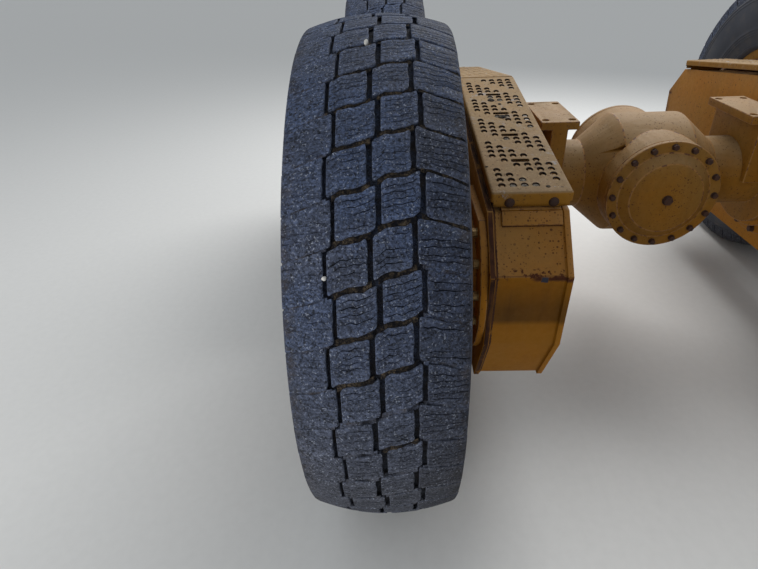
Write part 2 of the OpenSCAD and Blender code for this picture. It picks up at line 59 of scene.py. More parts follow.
ENDS = [("rear", -1), ("front", 1)]
# Each wheel's name, with 1 or -1 for the left or right side and for the front or rear end
WHEELS = [(f"{side}_{end}", sign, way) for side, sign in SIDES for end, way in ENDS]


def wheel_centre(wheel):
    return np.array(JOINTS[wheel + "_wheel_spin"]["pos_m"], float)


def stand(name, data):
    """An object with this data, put into the scene."""
    obj = bpy.data.objects.new(name, data)
    bpy.context.collection.objects.link(obj)
    return obj


WHEEL_X = abs(wheel_centre("left_rear")[0])
AXLE_Z = wheel_centre("left_rear")[2]

# Tandem cases
CASE_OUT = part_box("left_case")[1][1]
CASE_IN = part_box("left_case")[0][1]
TOP_SLOPE = radians(7.5)
SIDE_T = 0.016
# How far the side plates reach past the wrap between them
RIB = 0.008
# The outline's corners from top to bottom, as distances past the wheel centre and heights over the axle
CASE_CORNER = (0.128, 0.230)
CASE_CREASE = (0.245, 0.097)
CASE_BEND = (0.225, -0.130)
CASE_BOTTOM = (0.114, -0.329)
CREASE_Z = AXLE_Z + CASE_CREASE[1]

# Camera: its place and turn as solved from the photograph, 758 by 569 pixels
CAMERA_PLACE = (-2.1817, 0.9892, 1.4921)
CAMERA_DOWN = 31.47
CAMERA_LEFT = 2.40
CAMERA_ROLL = -2.24
FOCAL_PIXELS = 541.12
PHOTO_WIDTH = 758
SENSOR_WIDTH = 36.0


def make_camera():
    data = bpy.data.cameras.new("camera")
    data.sensor_fit = "HORIZONTAL"
    data.sensor_width = SENSOR_WIDTH
    data.lens = FOCAL_PIXELS * SENSOR_WIDTH / PHOTO_WIDTH
    data.clip_end = 200
    down = radians(CAMERA_DOWN)
    left = radians(CAMERA_LEFT)
    roll = radians(CAMERA_ROLL)
    ahead = np.array([cos(down) * cos(left), cos(down) * sin(left), -sin(down)])
    level = np.cross(ahead, [0, 0, 1])
    level /= np.linalg.norm(level)
    upright = np.cross(level, ahead)
    turn = np.eye(4)
    turn[:3, 0] = level * cos(roll) + upright * sin(roll)
    turn[:3, 1] = upright * cos(roll) - level * sin(roll)
    turn[:3, 2] = -ahead
    turn[:3, 3] = CAMERA_PLACE
    camera = stand("camera", data)
    camera.matrix_world = Matrix(turn.tolist())
    bpy.context.scene.camera = camera


# Materials


def linear(red, green, blue):
    """A colour as a screen shows it, 0 to 255, in the linear values that a shader takes."""
    parts = [c / 255 for c in (red, green, blue)]
    return [c / 12.92 if c < 0.04 else ((c + 0.055) / 1.055) ** 2.4 for c in parts] + [1.0]


class Paintbox:
    """Short calls that build one material's nodes. Colours are given as a screen shows them."""

    def __init__(self, name, roughness, metallic=0.0, specular=0.5):
        self.material = bpy.data.materials.new(name)
        self.material.use_nodes = True
        self.tree = self.material.node_tree
        self.shader = self.tree.nodes["Principled BSDF"]
        self.shader.inputs["Roughness"].default_value = roughness
        self.shader.inputs["Metallic"].default_value = metallic
        self.shader.inputs["Specular IOR Level"].default_value = specular
        self.coords = self.tree.nodes.new("ShaderNodeTexCoord")

    def put(self, socket, value):
        if isinstance(value, bpy.types.NodeSocket):
            self.tree.links.new(value, socket)
        else:
            socket.default_value = linear(*value) if socket.type == "RGBA" else value

    def node(self, kind, **values):
        """A new node with its inputs set or linked by name."""
        node = self.tree.nodes.new("ShaderNode" + kind)
        for name, value in values.items():
            self.put(node.inputs[name.replace("_", " ")], value)
        return node

    def noise(self, scale, detail=4.0, rough=0.55, stretch=(1, 1, 1), bend=0.0):
        place = self.node("Mapping", Vector=self.coords.outputs["Object"], Scale=stretch)
        return self.node("TexNoise", Vector=place.outputs["Vector"], Scale=scale, Detail=detail,
                         Roughness=rough, Distortion=bend).outputs["Fac"]

    def between(self, value, low, high, start=0.0, end=1.0):
        """The value stretched so that low to high becomes start to end, held at both."""
        return self.node("MapRange", Value=value, From_Min=low, From_Max=high,
                         To_Min=start, To_Max=end).outputs["Result"]

    def cloud(self, scale, detail, rough, low, high, start=0.0, end=1.0, **more):
        """Noise of a scale, detail and roughness, stretched in the same way."""
        return self.between(self.noise(scale, detail, rough, **more), low, high, start, end)

    def specks(self, scale, few, most):
        """Scattered round specks, up to most of a cell in radius. A share few of the cells has none."""
        cells = self.node("TexVoronoi", Vector=self.coords.outputs["Object"], Scale=scale)
        size = self.between(cells.outputs["Color"], few, 1.0, 0.0, most)
        return self.between(self.minus(size, cells.outputs["Distance"]), 0.0, 0.04)

    def sum(self, kind, first, *others):
        """The values joined one after the other, each result held between 0 and 1."""
        for other in others:
            node = self.tree.nodes.new("ShaderNodeMath")
            node.operation = kind
            node.use_clamp = True
            self.put(node.inputs[0], first)
            self.put(node.inputs[1], other)
            first = node.outputs["Value"]
        return first

    def plus(self, *values):
        return self.sum("ADD", *values)

    def minus(self, *values):
        return self.sum("SUBTRACT", *values)

    def times(self, *values):
        return self.sum("MULTIPLY", *values)

    def most(self, *values):
        return self.sum("MAXIMUM", *values)

    def blend(self, share, a, b):
        node = self.tree.nodes.new("ShaderNodeMix")
        node.data_type = "RGBA"
        self.put(node.inputs["Factor"], share)
        self.put(node.inputs[6], a)
        self.put(node.inputs[7], b)
        return node.outputs[2]

    def layer(self, colour, share, strength, top):
        """The colour under another one that covers a share of it, as strongly as strength says."""
        return self.blend(self.times(share, strength), colour, top)

    def along(self, axis, coordinate="Object"):
        """The part's own coordinate along an axis, in metres, or its surface's direction."""
        return self.node("SeparateXYZ", Vector=self.coords.outputs[coordinate]).outputs[axis]

    def away(self, axis):
        """How far the surface is from the part's middle plane along an axis, up to 1 metre."""
        value = self.along(axis)
        return self.most(value, self.times(value, -1))

    def band(self, value, middle, half, soft):
        """One where the value lies within half of the middle, fading out over soft on both sides."""
        rise = self.between(value, middle - half - soft, middle - half)
        return self.times(rise, self.between(value, middle + half + soft, middle + half))

    def drawn(self, name):
        """A share that the mesh carries for each of its points."""
        node = self.node("Attribute")
        node.attribute_name = name
        return node.outputs["Fac"]

    def bumps(self, height, strength, distance):
        node = self.node("Bump", Height=height, Strength=strength, Distance=distance)
        self.put(self.shader.inputs["Normal"], node.outputs["Normal"])

    def finish(self, colour, roughness=None):
        self.put(self.shader.inputs["Base Color"], colour)
        if roughness is not None:
            self.put(self.shader.inputs["Roughness"], roughness)
        return self.material


def rubber():
    """Weathered tread rubber: slate grey, pitted, specked with grit, dusty low down and soiled in places, with
    painted bluish sky light on its upper part.
    """
    box = Paintbox("tyre_rubber", 0.8, specular=0.2)
    wide = box.cloud(5, 4, 0.6, 0.38, 0.64)
    fine = box.cloud(210, 3, 0.7, 0.40, 0.61, stretch=(1, 0.7, 1))
    scores = box.cloud(100, 5, 0.8, 0.40, 0.64, stretch=(1, 0.24, 1))
    mottle = box.cloud(42, 6, 0.75, 0.36, 0.66)
    grain = box.plus(box.times(fine, 0.48), box.times(scores, 0.30), box.times(mottle, 0.22))
    # Painted light: the bluish colour stands for sky light on the tyre's upper part, giving way to the dusty grey
    # lower down
    sky_lit = box.blend(grain, (5, 10, 21), (91, 108, 144))
    warm = box.blend(grain, (12, 13, 17), (106, 107, 115))
    dusty = box.between(box.along("Z"), 1.15, 0.5, 0.0, 0.85)
    colour = box.blend(box.most(box.times(wide, 0.5), dusty), sky_lit, warm)
    # Each block's tone, darkest on the inner shoulder as painted shade
    colour = box.blend(box.between(box.drawn("tone"), 0, 2, 0, 0.46), colour, (31, 27, 27))
    # Painted highlight along the blocks' edges
    colour = box.layer(colour, box.drawn("rim"), 0.30, (92, 99, 116))
    gather = box.cloud(30, 3, 0.55, 0.36, 0.62, 0.3, 1.0)
    grit = box.times(box.cloud(230, 2, 0.5, 0.585, 0.70), gather)
    colour = box.layer(colour, grit, 0.62, (168, 174, 188))
    colour = box.layer(colour, box.cloud(200, 2, 0.5, 0.43, 0.35, bend=0.6), 0.75, (6, 8, 14))
    earth = box.blend(mottle, (30, 27, 28), (72, 62, 52))
    colour = box.blend(box.times(box.cloud(30, 6, 0.7, 0.4, 0.62), box.drawn("soil")), colour, earth)
    # Painted shade deep in the grooves, the sipes and the pockets of their filling
    colour = box.blend(box.drawn("deep"), colour, (8, 11, 20))
    box.bumps(box.plus(fine, grit), 0.7, 0.0015)
    return box.finish(colour, box.between(fine, 0, 1, 0.7, 0.92))


def sidewall():
    """Smoother rubber of the sidewalls, with a little dust in runs."""
    box = Paintbox("sidewall_rubber", 0.72, specular=0.35)
    grain = box.cloud(190, 5, 0.7, 0.35, 0.7)
    colour = box.blend(box.cloud(5, 5, 0.6, 0.35, 0.65), (32, 36, 46), (50, 53, 62))
    colour = box.layer(colour, grain, 0.4, (74, 76, 84))
    colour = box.layer(colour, box.cloud(14, 5, 0.65, 0.5, 0.75), 0.4, (84, 77, 68))
    box.bumps(box.noise(300, 3, 0.6), 0.2, 0.0008)
    return box.finish(colour, box.between(grain, 0, 1, 0.6, 0.85))


def soil():
    """Dry soil packed into the grooves: dull brown crumbs over dark hollows, with painted shade where it lies
    deep.
    """
    box = Paintbox("packed_soil", 0.95, specular=0.15)
    crumbs = box.cloud(210, 4, 0.75, 0.40, 0.64)
    colour = box.blend(crumbs, (20, 19, 22), (92, 80, 64))
    colour = box.blend(box.cloud(62, 5, 0.7, 0.40, 0.58), (13, 14, 20), colour)
    box.bumps(crumbs, 0.6, 0.002)
    # Painted shade where the soil lies deep in the grooves
    return box.finish(box.blend(box.drawn("deep"), colour, (10, 10, 12)))


def dry_dirt():
    """Pale dry dirt that has set in the grip holes."""
    box = Paintbox("dry_dirt", 0.95, specular=0.1)
    grains = box.cloud(180, 4, 0.7, 0.38, 0.64)
    box.bumps(grains, 0.6, 0.001)
    return box.finish(box.blend(grains, (48, 42, 40), (136, 128, 116)))


def stone():
    box = Paintbox("pebble", 0.8)
    return box.finish(box.blend(box.noise(90), (176, 172, 166), (214, 212, 206)))


def weathered(box, fresh, faded, dust, rust):
    """Old machine paint: its colour, how much of it is rust and how much is dust."""
    colour = box.blend(box.cloud(4, 4, 0.6, 0.35, 0.65), fresh, faded)
    colour = box.layer(colour, box.cloud(55, 6, 0.7, 0.3, 0.75), 0.35, [0.74 * c for c in fresh])
    colour = box.layer(colour, box.cloud(22, 6, 0.75, 0.5, 0.76, stretch=(1, 1, 0.08)), 0.35, (84, 54, 22))
    up = box.between(box.along("Z", "Normal"), 0.15, 0.9)
    haze = box.times(up, box.cloud(12, 6, 0.65, 0.2, 0.75, 0.45 * dust, dust))
    colour = box.blend(haze, colour, (148, 130, 104))
    spots = box.most(box.specks(84, 0.97 - 0.75 * rust, 0.38), box.specks(140, 0.95 - 0.9 * rust, 0.46))
    spots = box.times(spots, box.cloud(7, 4, 0.6, 0.34, 0.52, 0.25, 1.0), 0.8)
    fine = box.cloud(120, 3, 0.6, 0.69 - 0.05 * rust, 0.74 - 0.04 * rust)
    fine = box.times(fine, box.cloud(9, 3, 0.55, 0.38, 0.6))
    patches = box.cloud(24, 8, 0.72, 0.70 - 0.06 * rust, 0.76 - 0.06 * rust)
    return colour, box.most(spots, fine, patches), haze


def painted(box, colour, rusted, haze, gloss):
    """The finished material: rust over the colour, and rougher where there is rust or dust."""
    colour = box.blend(rusted, colour, box.blend(box.noise(150), (50, 28, 22), (94, 54, 32)))
    box.bumps(box.minus(box.noise(300, 3, 0.6), rusted), 0.16, 0.0008)
    rough = box.cloud(55, 6, 0.7, 0.3, 0.75, gloss, gloss + 0.18)
    return box.finish(colour, box.most(rough, rusted, box.between(haze, 0, 0.6, 0, 0.85)))


def paint(name, fresh, faded, dust, rust):
    gloss = 0.58
    box = Paintbox(name, gloss, specular=0.15)
    return painted(box, *weathered(box, fresh, faded, dust, rust), gloss)


def case_paint():
    """The cases' paint, with rust along the creases of their ends, a dark band of painted shade below them and
    painted light that makes the lowest part a brighter yellow.
    """
    box = Paintbox("case_paint", 0.55, specular=0.13)
    colour, rusted, haze = weathered(box, (150, 94, 6), (144, 97, 24), dust=0.38, rust=0.75)
    far = box.away("X")
    z = box.along("Z")
    ends = box.between(far, WHEEL_X + 0.203, WHEEL_X + 0.223)
    rusted = box.most(rusted, box.times(crease_rust(box, z), ends))
    past = box.between(far, WHEEL_X + 0.098, WHEEL_X + 0.118)
    sound = box.times(past, box.between(z, CREASE_Z - 0.010, CREASE_Z - 0.018), 0.9)
    rusted = box.minus(rusted, sound)
    # Painted light makes the case a brighter yellow under the axle's height, and painted shade darkens a band on
    # its ends above that
    colour = box.blend(box.between(z, AXLE_Z - 0.045, AXLE_Z - 0.085, 0, 0.22), colour, (186, 124, 34))
    colour = box.blend(shade_band(box, z, ends), colour, (36, 22, 4))
    flake = box.times(chip(box, z), ends)
    colour = box.blend(flake, colour, (54, 54, 64))
    return painted(box, colour, box.minus(rusted, flake), haze, 0.55)


def crease_rust(box, z):
    """Rust along a crease: a ragged band on its inboard part, dots above it and a faint line on it."""
    inboard = box.between(box.away("Y"), CASE_IN + 0.109, CASE_IN + 0.091)
    ragged = box.plus(z, box.cloud(38, 7, 0.75, 0.3, 0.7, -0.008, 0.008))
    band = box.times(box.band(ragged, CREASE_Z - 0.008, 0.007, 0.003), inboard)
    dots = box.times(box.cloud(70, 4, 0.6, 0.55, 0.60), box.band(z, CREASE_Z + 0.004, 0.008, 0.006))
    return box.most(band, dots, box.times(box.band(z, CREASE_Z, 0.0008, 0.0012), 0.5))


def shade_band(box, z, ends):
    """A soft, uneven dark band of painted shade on the ends, from the crease down to just under the axle's height.
    """
    foot = box.between(z, AXLE_Z - 0.063, AXLE_Z - 0.045)
    head = box.between(z, AXLE_Z + 0.100, AXLE_Z - 0.005)
    return box.times(foot, head, ends, box.cloud(5, 4, 0.6, 0.3, 0.6, 0.40, 0.62, stretch=(1, 1.5, 0.5)))


def chip(box, z):
    """A patch under each crease where a flake of paint is gone and blue-grey primer shows."""
    uneven = box.cloud(45, 5, 0.7, 0.3, 0.7, -0.004, 0.004)
    across = box.band(box.plus(box.away("Y"), uneven), CASE_IN + 0.071, 0.007, 0.003)
    return box.times(across, box.band(box.plus(z, uneven), CREASE_Z - 0.010, 0.007, 0.003))


def deck_paint():
    """The platforms' paint, dull with trodden dust, scuffed down to its primer and painted darker away from the
    fold as shade.
    """
    box = Paintbox("platform_paint", 0.6, specular=0.15)
    colour, rusted, haze = weathered(box, (146, 99, 26), (142, 103, 44), dust=0.82, rust=0.45)
    up = box.between(box.along("Z", "Normal"), 0.5, 0.9)
    # Painted shade: the panels' tops darken from the fold out towards their ends
    far = box.between(box.away("X"), 0.30, 0.90)
    worn = box.cloud(5, 3, 0.55, 0.44, 0.56)
    blotches = box.cloud(75, 6, 0.78, 0.36, 0.66)
    glints = box.cloud(130, 4, 0.7, 0.56, 0.70)
    scuffs = box.times(box.cloud(26, 8, 0.78, 0.56, 0.62), worn)
    smudges = box.times(box.cloud(18, 7, 0.75, 0.56, 0.66), box.between(worn, 1, 0))
    for share, strength, top in [
        (box.times(far, up), 0.34, (66, 54, 42)),
        (box.times(blotches, up), 0.22, (84, 66, 42)),
        (box.times(glints, up), 0.24, (196, 178, 128)),
        (scuffs, 0.55, (146, 148, 154)),
        (smudges, 0.45, (74, 60, 46)),
        (box.times(box.specks(62, 0.35, 0.34), up), 0.6, (48, 36, 28)),
    ]:
        colour = box.layer(colour, share, strength, top)
    return painted(box, colour, rusted, haze, 0.6)


def cut_edge_shade():
    """Cut edges of the platforms' sheet, round their lips and in their grip holes: rusty, and darkened with
    painted shade.
    """
    box = Paintbox("dark_cut_edge", 0.8, specular=0.2)
    patches = box.cloud(60, 5, 0.7, 0.35, 0.7)
    box.bumps(patches, 0.3, 0.0006)
    return box.finish(box.blend(patches, (22, 17, 15), (56, 38, 26)))


def rusty_edge():
    """Edges where the paint is gone and the steel has rusted maroon-brown in lines along them."""
    box = Paintbox("rusty_edge", 0.85, specular=0.2)
    colour = box.blend(box.cloud(30, 6, 0.7, 0.38, 0.62), (40, 22, 19), (72, 42, 28))
    lines = box.cloud(240, 3, 0.6, 0.46, 0.62, stretch=(0.06, 1, 0.06))
    colour = box.layer(colour, lines, 0.55, (110, 74, 32))
    colour = box.blend(box.cloud(14, 5, 0.7, 0.60, 0.66), colour, (126, 84, 30))
    box.bumps(box.plus(lines, box.noise(220, 4, 0.7)), 0.4, 0.001)
    return box.finish(colour)


def worn_edge(name):
    """Edges of painted pieces: paint in most places, rust where it has chipped."""
    box = Paintbox(name, 0.65, specular=0.4)
    chips = box.cloud(48, 6, 0.72, 0.5, 0.58)
    colour = box.blend(box.noise(12), (150, 108, 50), (128, 88, 38))
    box.bumps(chips, 0.2, 0.0005)
    return box.finish(box.blend(chips, colour, box.blend(box.noise(130), (66, 38, 26), (104, 64, 38))))


def rusty_steel(name):
    """Bolts and bare castings, dark and rusty."""
    box = Paintbox(name, 0.75, metallic=0.2, specular=0.3)
    patches = box.cloud(70, 6, 0.7, 0.3, 0.7)
    box.bumps(box.noise(320, 4, 0.7), 0.35, 0.0008)
    return box.finish(box.blend(patches, (44, 33, 32), (82, 54, 38)), box.between(patches, 0, 1, 0.55, 0.9))


def pale_steel():
    """Plated bolts, dull and pale."""
    box = Paintbox("pale_steel", 0.5, metallic=0.6)
    patches = box.cloud(90, 5, 0.7, 0.35, 0.7)
    box.bumps(box.noise(350, 3), 0.15, 0.0005)
    colour = box.blend(patches, (150, 126, 82), (116, 84, 44))
    return box.finish(colour, box.between(patches, 0, 1, 0.4, 0.75))


CASE = case_paint()
DECK = deck_paint()
WHEEL = paint("wheel_paint", (158, 104, 20), (146, 104, 40), dust=0.3, rust=0.4)
HOUSING = paint("housing_paint", (138, 92, 24), (128, 94, 44), dust=0.6, rust=0.6)
HUB = paint("hub_paint", (166, 106, 12), (154, 100, 22), dust=0.3, rust=0.5)
EDGE = worn_edge("worn_edge")
WELD = worn_edge("weld_bead")
BARE = rusty_steel("bare_flange")
CUT_EDGE_SHADE = cut_edge_shade()
RUST_EDGE = rusty_edge()
RUBBER = rubber()
SIDEWALL = sidewall()
SOIL = soil()
STONE = stone()
DRY_DIRT = dry_dirt()
RUSTY = rusty_steel("rusty_bolts")
PALE = pale_steel()


# Meshes


class Shape:
    """Points and faces gathered for one piece, each face with the number of its material."""

    def __init__(self):
        self.points = []
        self.faces = []
        self.slots = []
        self.shares = {}
        self.count = 0

    def add(self, points, faces, slot=0, **shares):
        points = np.asarray(points, float).reshape(-1, 3)
        self.points.append(points)
        self.faces += [tuple(i + self.count for i in face) for face in faces]
        self.slots += [slot] * len(faces)
        for name, values in shares.items():
            self.shares.setdefault(name, []).append((self.count, np.asarray(values, float).ravel()))
        self.count += len(points)

    def place(self, matrix):
        """The whole shape, moved by a 4 by 4 matrix, which may mirror it."""
        self.points = [np.concatenate(self.points) @ matrix[:3, :3].T + matrix[:3, 3]]
        if np.linalg.det(matrix[:3, :3]) < 0:
            self.faces = [face[::-1] for face in self.faces]

    def piece(self, name, body, materials, slot, smooth):
        """The shape as an object that rides on a body, smooth where it bends by less than smooth."""
        mesh = bpy.data.meshes.new(name)
        mesh.from_pydata(np.concatenate(self.points).tolist(), [], self.faces)
        mesh.polygons.foreach_set("material_index", self.slots)
        for material in materials:
            mesh.materials.append(material)
        for share, runs in self.shares.items():
            values = np.zeros(self.count, np.float32)
            for start, part in runs:
                values[start:start + len(part)] = part
            mesh.attributes.new(share, "FLOAT", "POINT").data.foreach_set("value", values)
        mesh.validate()
        mesh.polygons.foreach_set("use_smooth", [True] * len(mesh.polygons))
        mesh.set_sharp_from_angle(angle=radians(smooth))
        obj = stand(name, mesh)
        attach(obj, body)
        return obj


def net(rows, columns, close_rows=False, close_columns=False):
    """Faces between the points of a grid, as numbers into its flattened points."""
    faces = []
    for i in range(rows if close_rows else rows - 1):
        for j in range(columns if close_columns else columns - 1):
            row = i * columns
            next_row = (i + 1) % rows * columns
            after = (j + 1) % columns
            faces.append((row + j, row + after, next_row + after, next_row + j))
    return faces


def applied(obj):
    """A new mesh of the object as its modifiers make it."""
    return bpy.data.meshes.new_from_object(obj.evaluated_get(bpy.context.evaluated_depsgraph_get()))


def matrix_at(place, sign, turn=0.0):
    """A place in the row frame, mirrored if sign is -1, after a turn about the wheel's axis."""
    c = cos(radians(turn))
    s = sin(radians(turn))
    matrix = np.eye(4)
    matrix[:3, :3] = np.diag([1, sign, 1]) @ np.array([[c, 0, s], [0, 1, 0], [-s, 0, c]])
    matrix[:3, 3] = place
    return matrix


def revolve(profile, steps):
    """Points and faces of a closed profile of (radius, y) turned about the Y axis."""
    angles = np.arange(steps) * 2 * pi / steps
    r, y = np.array(profile).T
    points = [np.outer(np.sin(angles), r), np.tile(y, (steps, 1)), np.outer(np.cos(angles), r)]
    return np.stack(points, axis=-1), net(steps, len(profile), close_rows=True, close_columns=True)


# Tyres: the rubber under the tread, separate blocks with sipes, and soil in the grooves

TYRE_LOW, TYRE_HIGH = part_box("left_rear_tyre")
TYRE_R = (TYRE_HIGH[2] - TYRE_LOW[2]) / 2
HALF_WIDTH = (TYRE_HIGH[1] - TYRE_LOW[1]) / 2
HALF_TREAD = 0.175
CROWN_DROP = 0.031
SHOULDER_R = 0.014
EDGE_R = TYRE_R - CROWN_DROP - SHOULDER_R
# The wall is widest at one radius, and its foot on the rim has another radius and half width
WIDEST_R = 0.495
FOOT_R = 0.349
FOOT_HALF = 0.151
WALL_RIBS = [0.588, 0.572, 0.430, 0.418, 0.406]
WALL_RIB_HALF = 0.0045
WALL_RIB_H = 0.0022
# The tyre's foot and its inside, as (radius, distance from its middle)
FOOT_AND_INSIDE = [
    (0.358, 0.1605), (0.352, 0.1585), (0.347, 0.1520), (0.343, 0.1440), (0.336, 0.1270),
    (0.3055, 0.1265), (0.3055, 0.0975), (0.349, 0.1060), (0.380, 0.1280), (0.430, 0.1600),
    (0.495, 0.1690), (0.560, 0.1650), (0.600, 0.1480), (0.630, 0.1100), (0.640, 0.0500),
]
INSIDE_R = 0.643
ROUND_STEPS = 120
ROWS = 48
PITCH = 2 * pi * TYRE_R / ROWS
# Middles of the two outer grooves, and how far all three step sideways from row to row
GROOVE_OUT = 0.0826
GROOVE_IN = 0.0807
STEP = 0.008
GROOVE_HALF = 0.0054
# The grooves beside the shoulders are narrower
SIDE_GROOVE_HALF = GROOVE_HALF * 0.75
CROSS_HALF = 0.0056
OUTER_CROSS_HALF = 0.0014
INNER_CROSS_HALF = 0.0034
GROOVE_DEEP = 0.012
# How dark the grooves are painted, as painted shade deep in them
GROOVE_DARK = 0.65
# How far the shoulders' blocks run down the wall
WALL_REACH = 0.045
ROUND = 0.0015
CORNER = 0.004
# A block's rounded rim lies this much lower, and its face may be worn down by as much as the second
RIM_DROP = ROUND * 0.8
MOST_WEAR = 0.0009
# How unevenly the blocks' edges have worn, least on the outer shoulder
UNEVEN = 0.0013
OUTER_UNEVEN = 0.0005
# How far the lines on a block have drifted sideways at its groove, and how fast that fades away from it
DRIFT = 0.0007
DRIFT_FADES = 0.012
# How much straighter than its sides a shoulder block's lines run, and how much its grooves widen on the wall
BOW = 0.75
WALL_WIDENING = 0.005
# Soil along the shoulder's edge: how strong and how wide
EDGE_SOIL = 0.65
EDGE_SOIL_HALF = 0.014
# How brown and dark a block may be: those of the inner shoulder, darkened further as painted shade, and all others
INNER_SHADE_TONES = (1.2, 1.7)
TONES = (0, 0.6)
# Sipes: their places and half their width as shares of a row, their zigzag, how deep they are where they
# are open and where they are worn shut, and how far they stop from a block's sides or run over a shoulder
SIPES = (0.17, 0.335, 0.50, 0.665, 0.83)
SIPE_HALF = 0.014
SIPE_ZIGZAG = 0.0013
SIPE_OPEN = 0.004
SIPE_SHUT = 0.0008
SIPE_END = 0.006
SIPE_REACH = 0.11
# What a line across a block belongs to
FACE, LIP, BOTTOM = range(3)
# Slants of the cross grooves in the four columns of blocks, from the outer shoulder inward
SLANTS = [16, 18.5, 20, 15]
# For each wheel, the turn of its first row and where around it the soil is thickest
TURNS = [-11.4, 2.0, 5.1, 3.3]
SOILED_AT = [-24, 40, 160, -20]
# How rough the filling of the cross grooves is, and how much lower its middle lies
CRUMB = 0.0008
STRIP_DIP = 0.0010
# Over this radius and within this half width the carcass is the tread's floor, and elsewhere it is wall
TREAD_FLOOR_R = 0.6
TREAD_FLOOR_HALF = 0.172
# Pebbles in the left rear tyre, as their places across and around it and their sizes
PEBBLES = [(0.0171, -0.081, 0.012), (0.091, -0.605, 0.010)]


def crown(y):
    """The tread's radius at y."""
    return TYRE_R - CROWN_DROP * (np.abs(y) / HALF_TREAD) ** 2


def on_crown(y):
    """A point of the tread at y, as (y, radius, outward y, outward radius)."""
    return y, float(crown(y)), 2 * CROWN_DROP * y / HALF_TREAD ** 2, 1.0


def swing(share):
    """A cross groove rises fast, then levels, then rises fast again on its way over a block's width."""
    return share + 0.11 * np.sin(2 * pi * share)


def cross(y):
    """How far forward a cross groove lies at y, against its place in the outer middle column."""
    tans = [tan(radians(a)) for a in SLANTS]
    outer = GROOVE_OUT * tans[1] * (swing(np.clip(1 - y / GROOVE_OUT, 0, 1)) - 0.5)
    inner = GROOVE_IN * tans[2] * swing(np.clip(-y / GROOVE_IN, 0, 1))
    shoulder = np.maximum(y - GROOVE_OUT, 0) * tans[0] + np.maximum(-y - GROOVE_IN, 0) * tans[3]
    return outer + inner - shoulder


def wall_y(r):
    """Half width of the tyre at a radius, from the tread's edge to the rim."""
    out = HALF_WIDTH - (HALF_WIDTH - HALF_TREAD) * (max(r - WIDEST_R, 0) / (EDGE_R - WIDEST_R)) ** 2
    return float(out - (HALF_WIDTH - FOOT_HALF) * (max(WIDEST_R - r, 0) / (WIDEST_R - FOOT_R)) ** 2)


def shoulder_path():
    """The points of a shoulder block's outer part, over the tread's edge and down the wall."""
    edge_angle = atan(2 * CROWN_DROP / HALF_TREAD)
    start_y = HALF_TREAD - SHOULDER_R * (1 - sin(edge_angle))
    bend_y = HALF_TREAD - SHOULDER_R
    bend_r = float(crown(start_y)) - SHOULDER_R * cos(edge_angle)
    points = [on_crown(y) for y in np.linspace(0, start_y, 8)[4:-1]]
    for angle in np.linspace(edge_angle, pi / 2, 4):
        out = (sin(angle), cos(angle))
        points.append((bend_y + SHOULDER_R * out[0], bend_r + SHOULDER_R * out[1], *out))
    for drop in np.linspace(0, WALL_REACH, 4)[1:]:
        points.append((wall_y(bend_r - drop), bend_r - drop, 1.0, -0.08))
    return points


def column_path(low, high):
    """The points across a middle column between two grooves, close together at its edges."""
    width = high - low
    steps = [0, ROUND, CORNER] + list(np.linspace(0.17, 0.83, 5) * width)
    return [on_crown(low + step) for step in steps + [width - CORNER, width - ROUND, width]]


def edge_path(low):
    """The same for an outer column, from its groove at low, over the edge and down the wall."""
    path = [on_crown(y) for y in (low, low + ROUND, low + CORNER, low + 0.014, low + 0.026)]
    return path + [p for p in shoulder_path() if p[0] > low + 0.034]


def corner_cut(distance):
    """How much shorter a block is at a distance from its side, for its rounded corner."""
    left = np.maximum(CORNER - distance, 0)
    return CORNER - np.sqrt(np.maximum(CORNER ** 2 - left ** 2, 0))


def cross_half(mirror, shoulder):
    """Half the width of a cross groove. The shoulders' are worn nearly shut, the outer side's most."""
    if not shoulder:
        return CROSS_HALF
    return OUTER_CROSS_HALF if mirror > 0 else INNER_CROSS_HALF


def waves(share, size, rng):
    """A worn line's slow sideways drift along its length."""
    first, second = rng.random(), rng.random()
    slow = np.sin(2 * pi * (1.3 * share + first))
    return size * (slow + 0.8 * np.sin(2 * pi * (3.4 * share + second)))


def block_rows(rng):
    """The lines across a block, as shares of its length and what they belong to."""
    sipes = [share + rng.uniform(-0.02, 0.02) for share in SIPES]
    for _ in range(rng.choice([0, 1, 1, 2])):
        sipes.pop(rng.randrange(len(sipes)))
    rows = [(0.0, FACE), (ROUND / PITCH, FACE), (0.055, FACE)]
    for sipe in sipes:
        rows += [(sipe - SIPE_HALF, LIP), (sipe, BOTTOM), (sipe + SIPE_HALF, LIP)]
    return rows + [(0.945, FACE), (1 - ROUND / PITCH, FACE), (1.0, FACE)]


def sipe_runs(along, whole, faint, shoulder, rng):
    """Where a sipe is still open: in one stretch or two."""
    length = along[-1]
    start = rng.uniform(0.0, 0.1 if shoulder else 0.4) * length
    stop = start + rng.uniform(0.22, 0.5) * length * (0.4 + 0.6 * faint)
    inside = whole & (along > start) & (along < stop)
    if rng.random() < 0.6 * faint:
        again = stop + rng.uniform(0.08, 0.2) * length
        inside = inside | (whole & (along > again) & (along < again + 0.3 * length))
    return inside


def sipe_line(kind, along, faint, shoulder, rng):
    """How far a line across a block zigzags, how deep it lies and how dark its painted shade is."""
    still = np.zeros(len(along))
    if kind == FACE:
        return still, still, still
    whole = (along > SIPE_END) & (along < (min(SIPE_REACH, along[-1]) if shoulder else along[-1] - SIPE_END))
    zigzag = np.where(whole, SIPE_ZIGZAG * np.where(np.arange(len(along)) % 2 == 0, 1, -1), 0)
    if kind == LIP:
        return zigzag, still, np.where(whole, 0.22, 0.1) * faint
    inside = sipe_runs(along, whole, faint, shoulder, rng)
    return zigzag, np.where(inside, SIPE_OPEN, SIPE_SHUT) * faint, np.where(inside, 1.0, 0.35) * faint


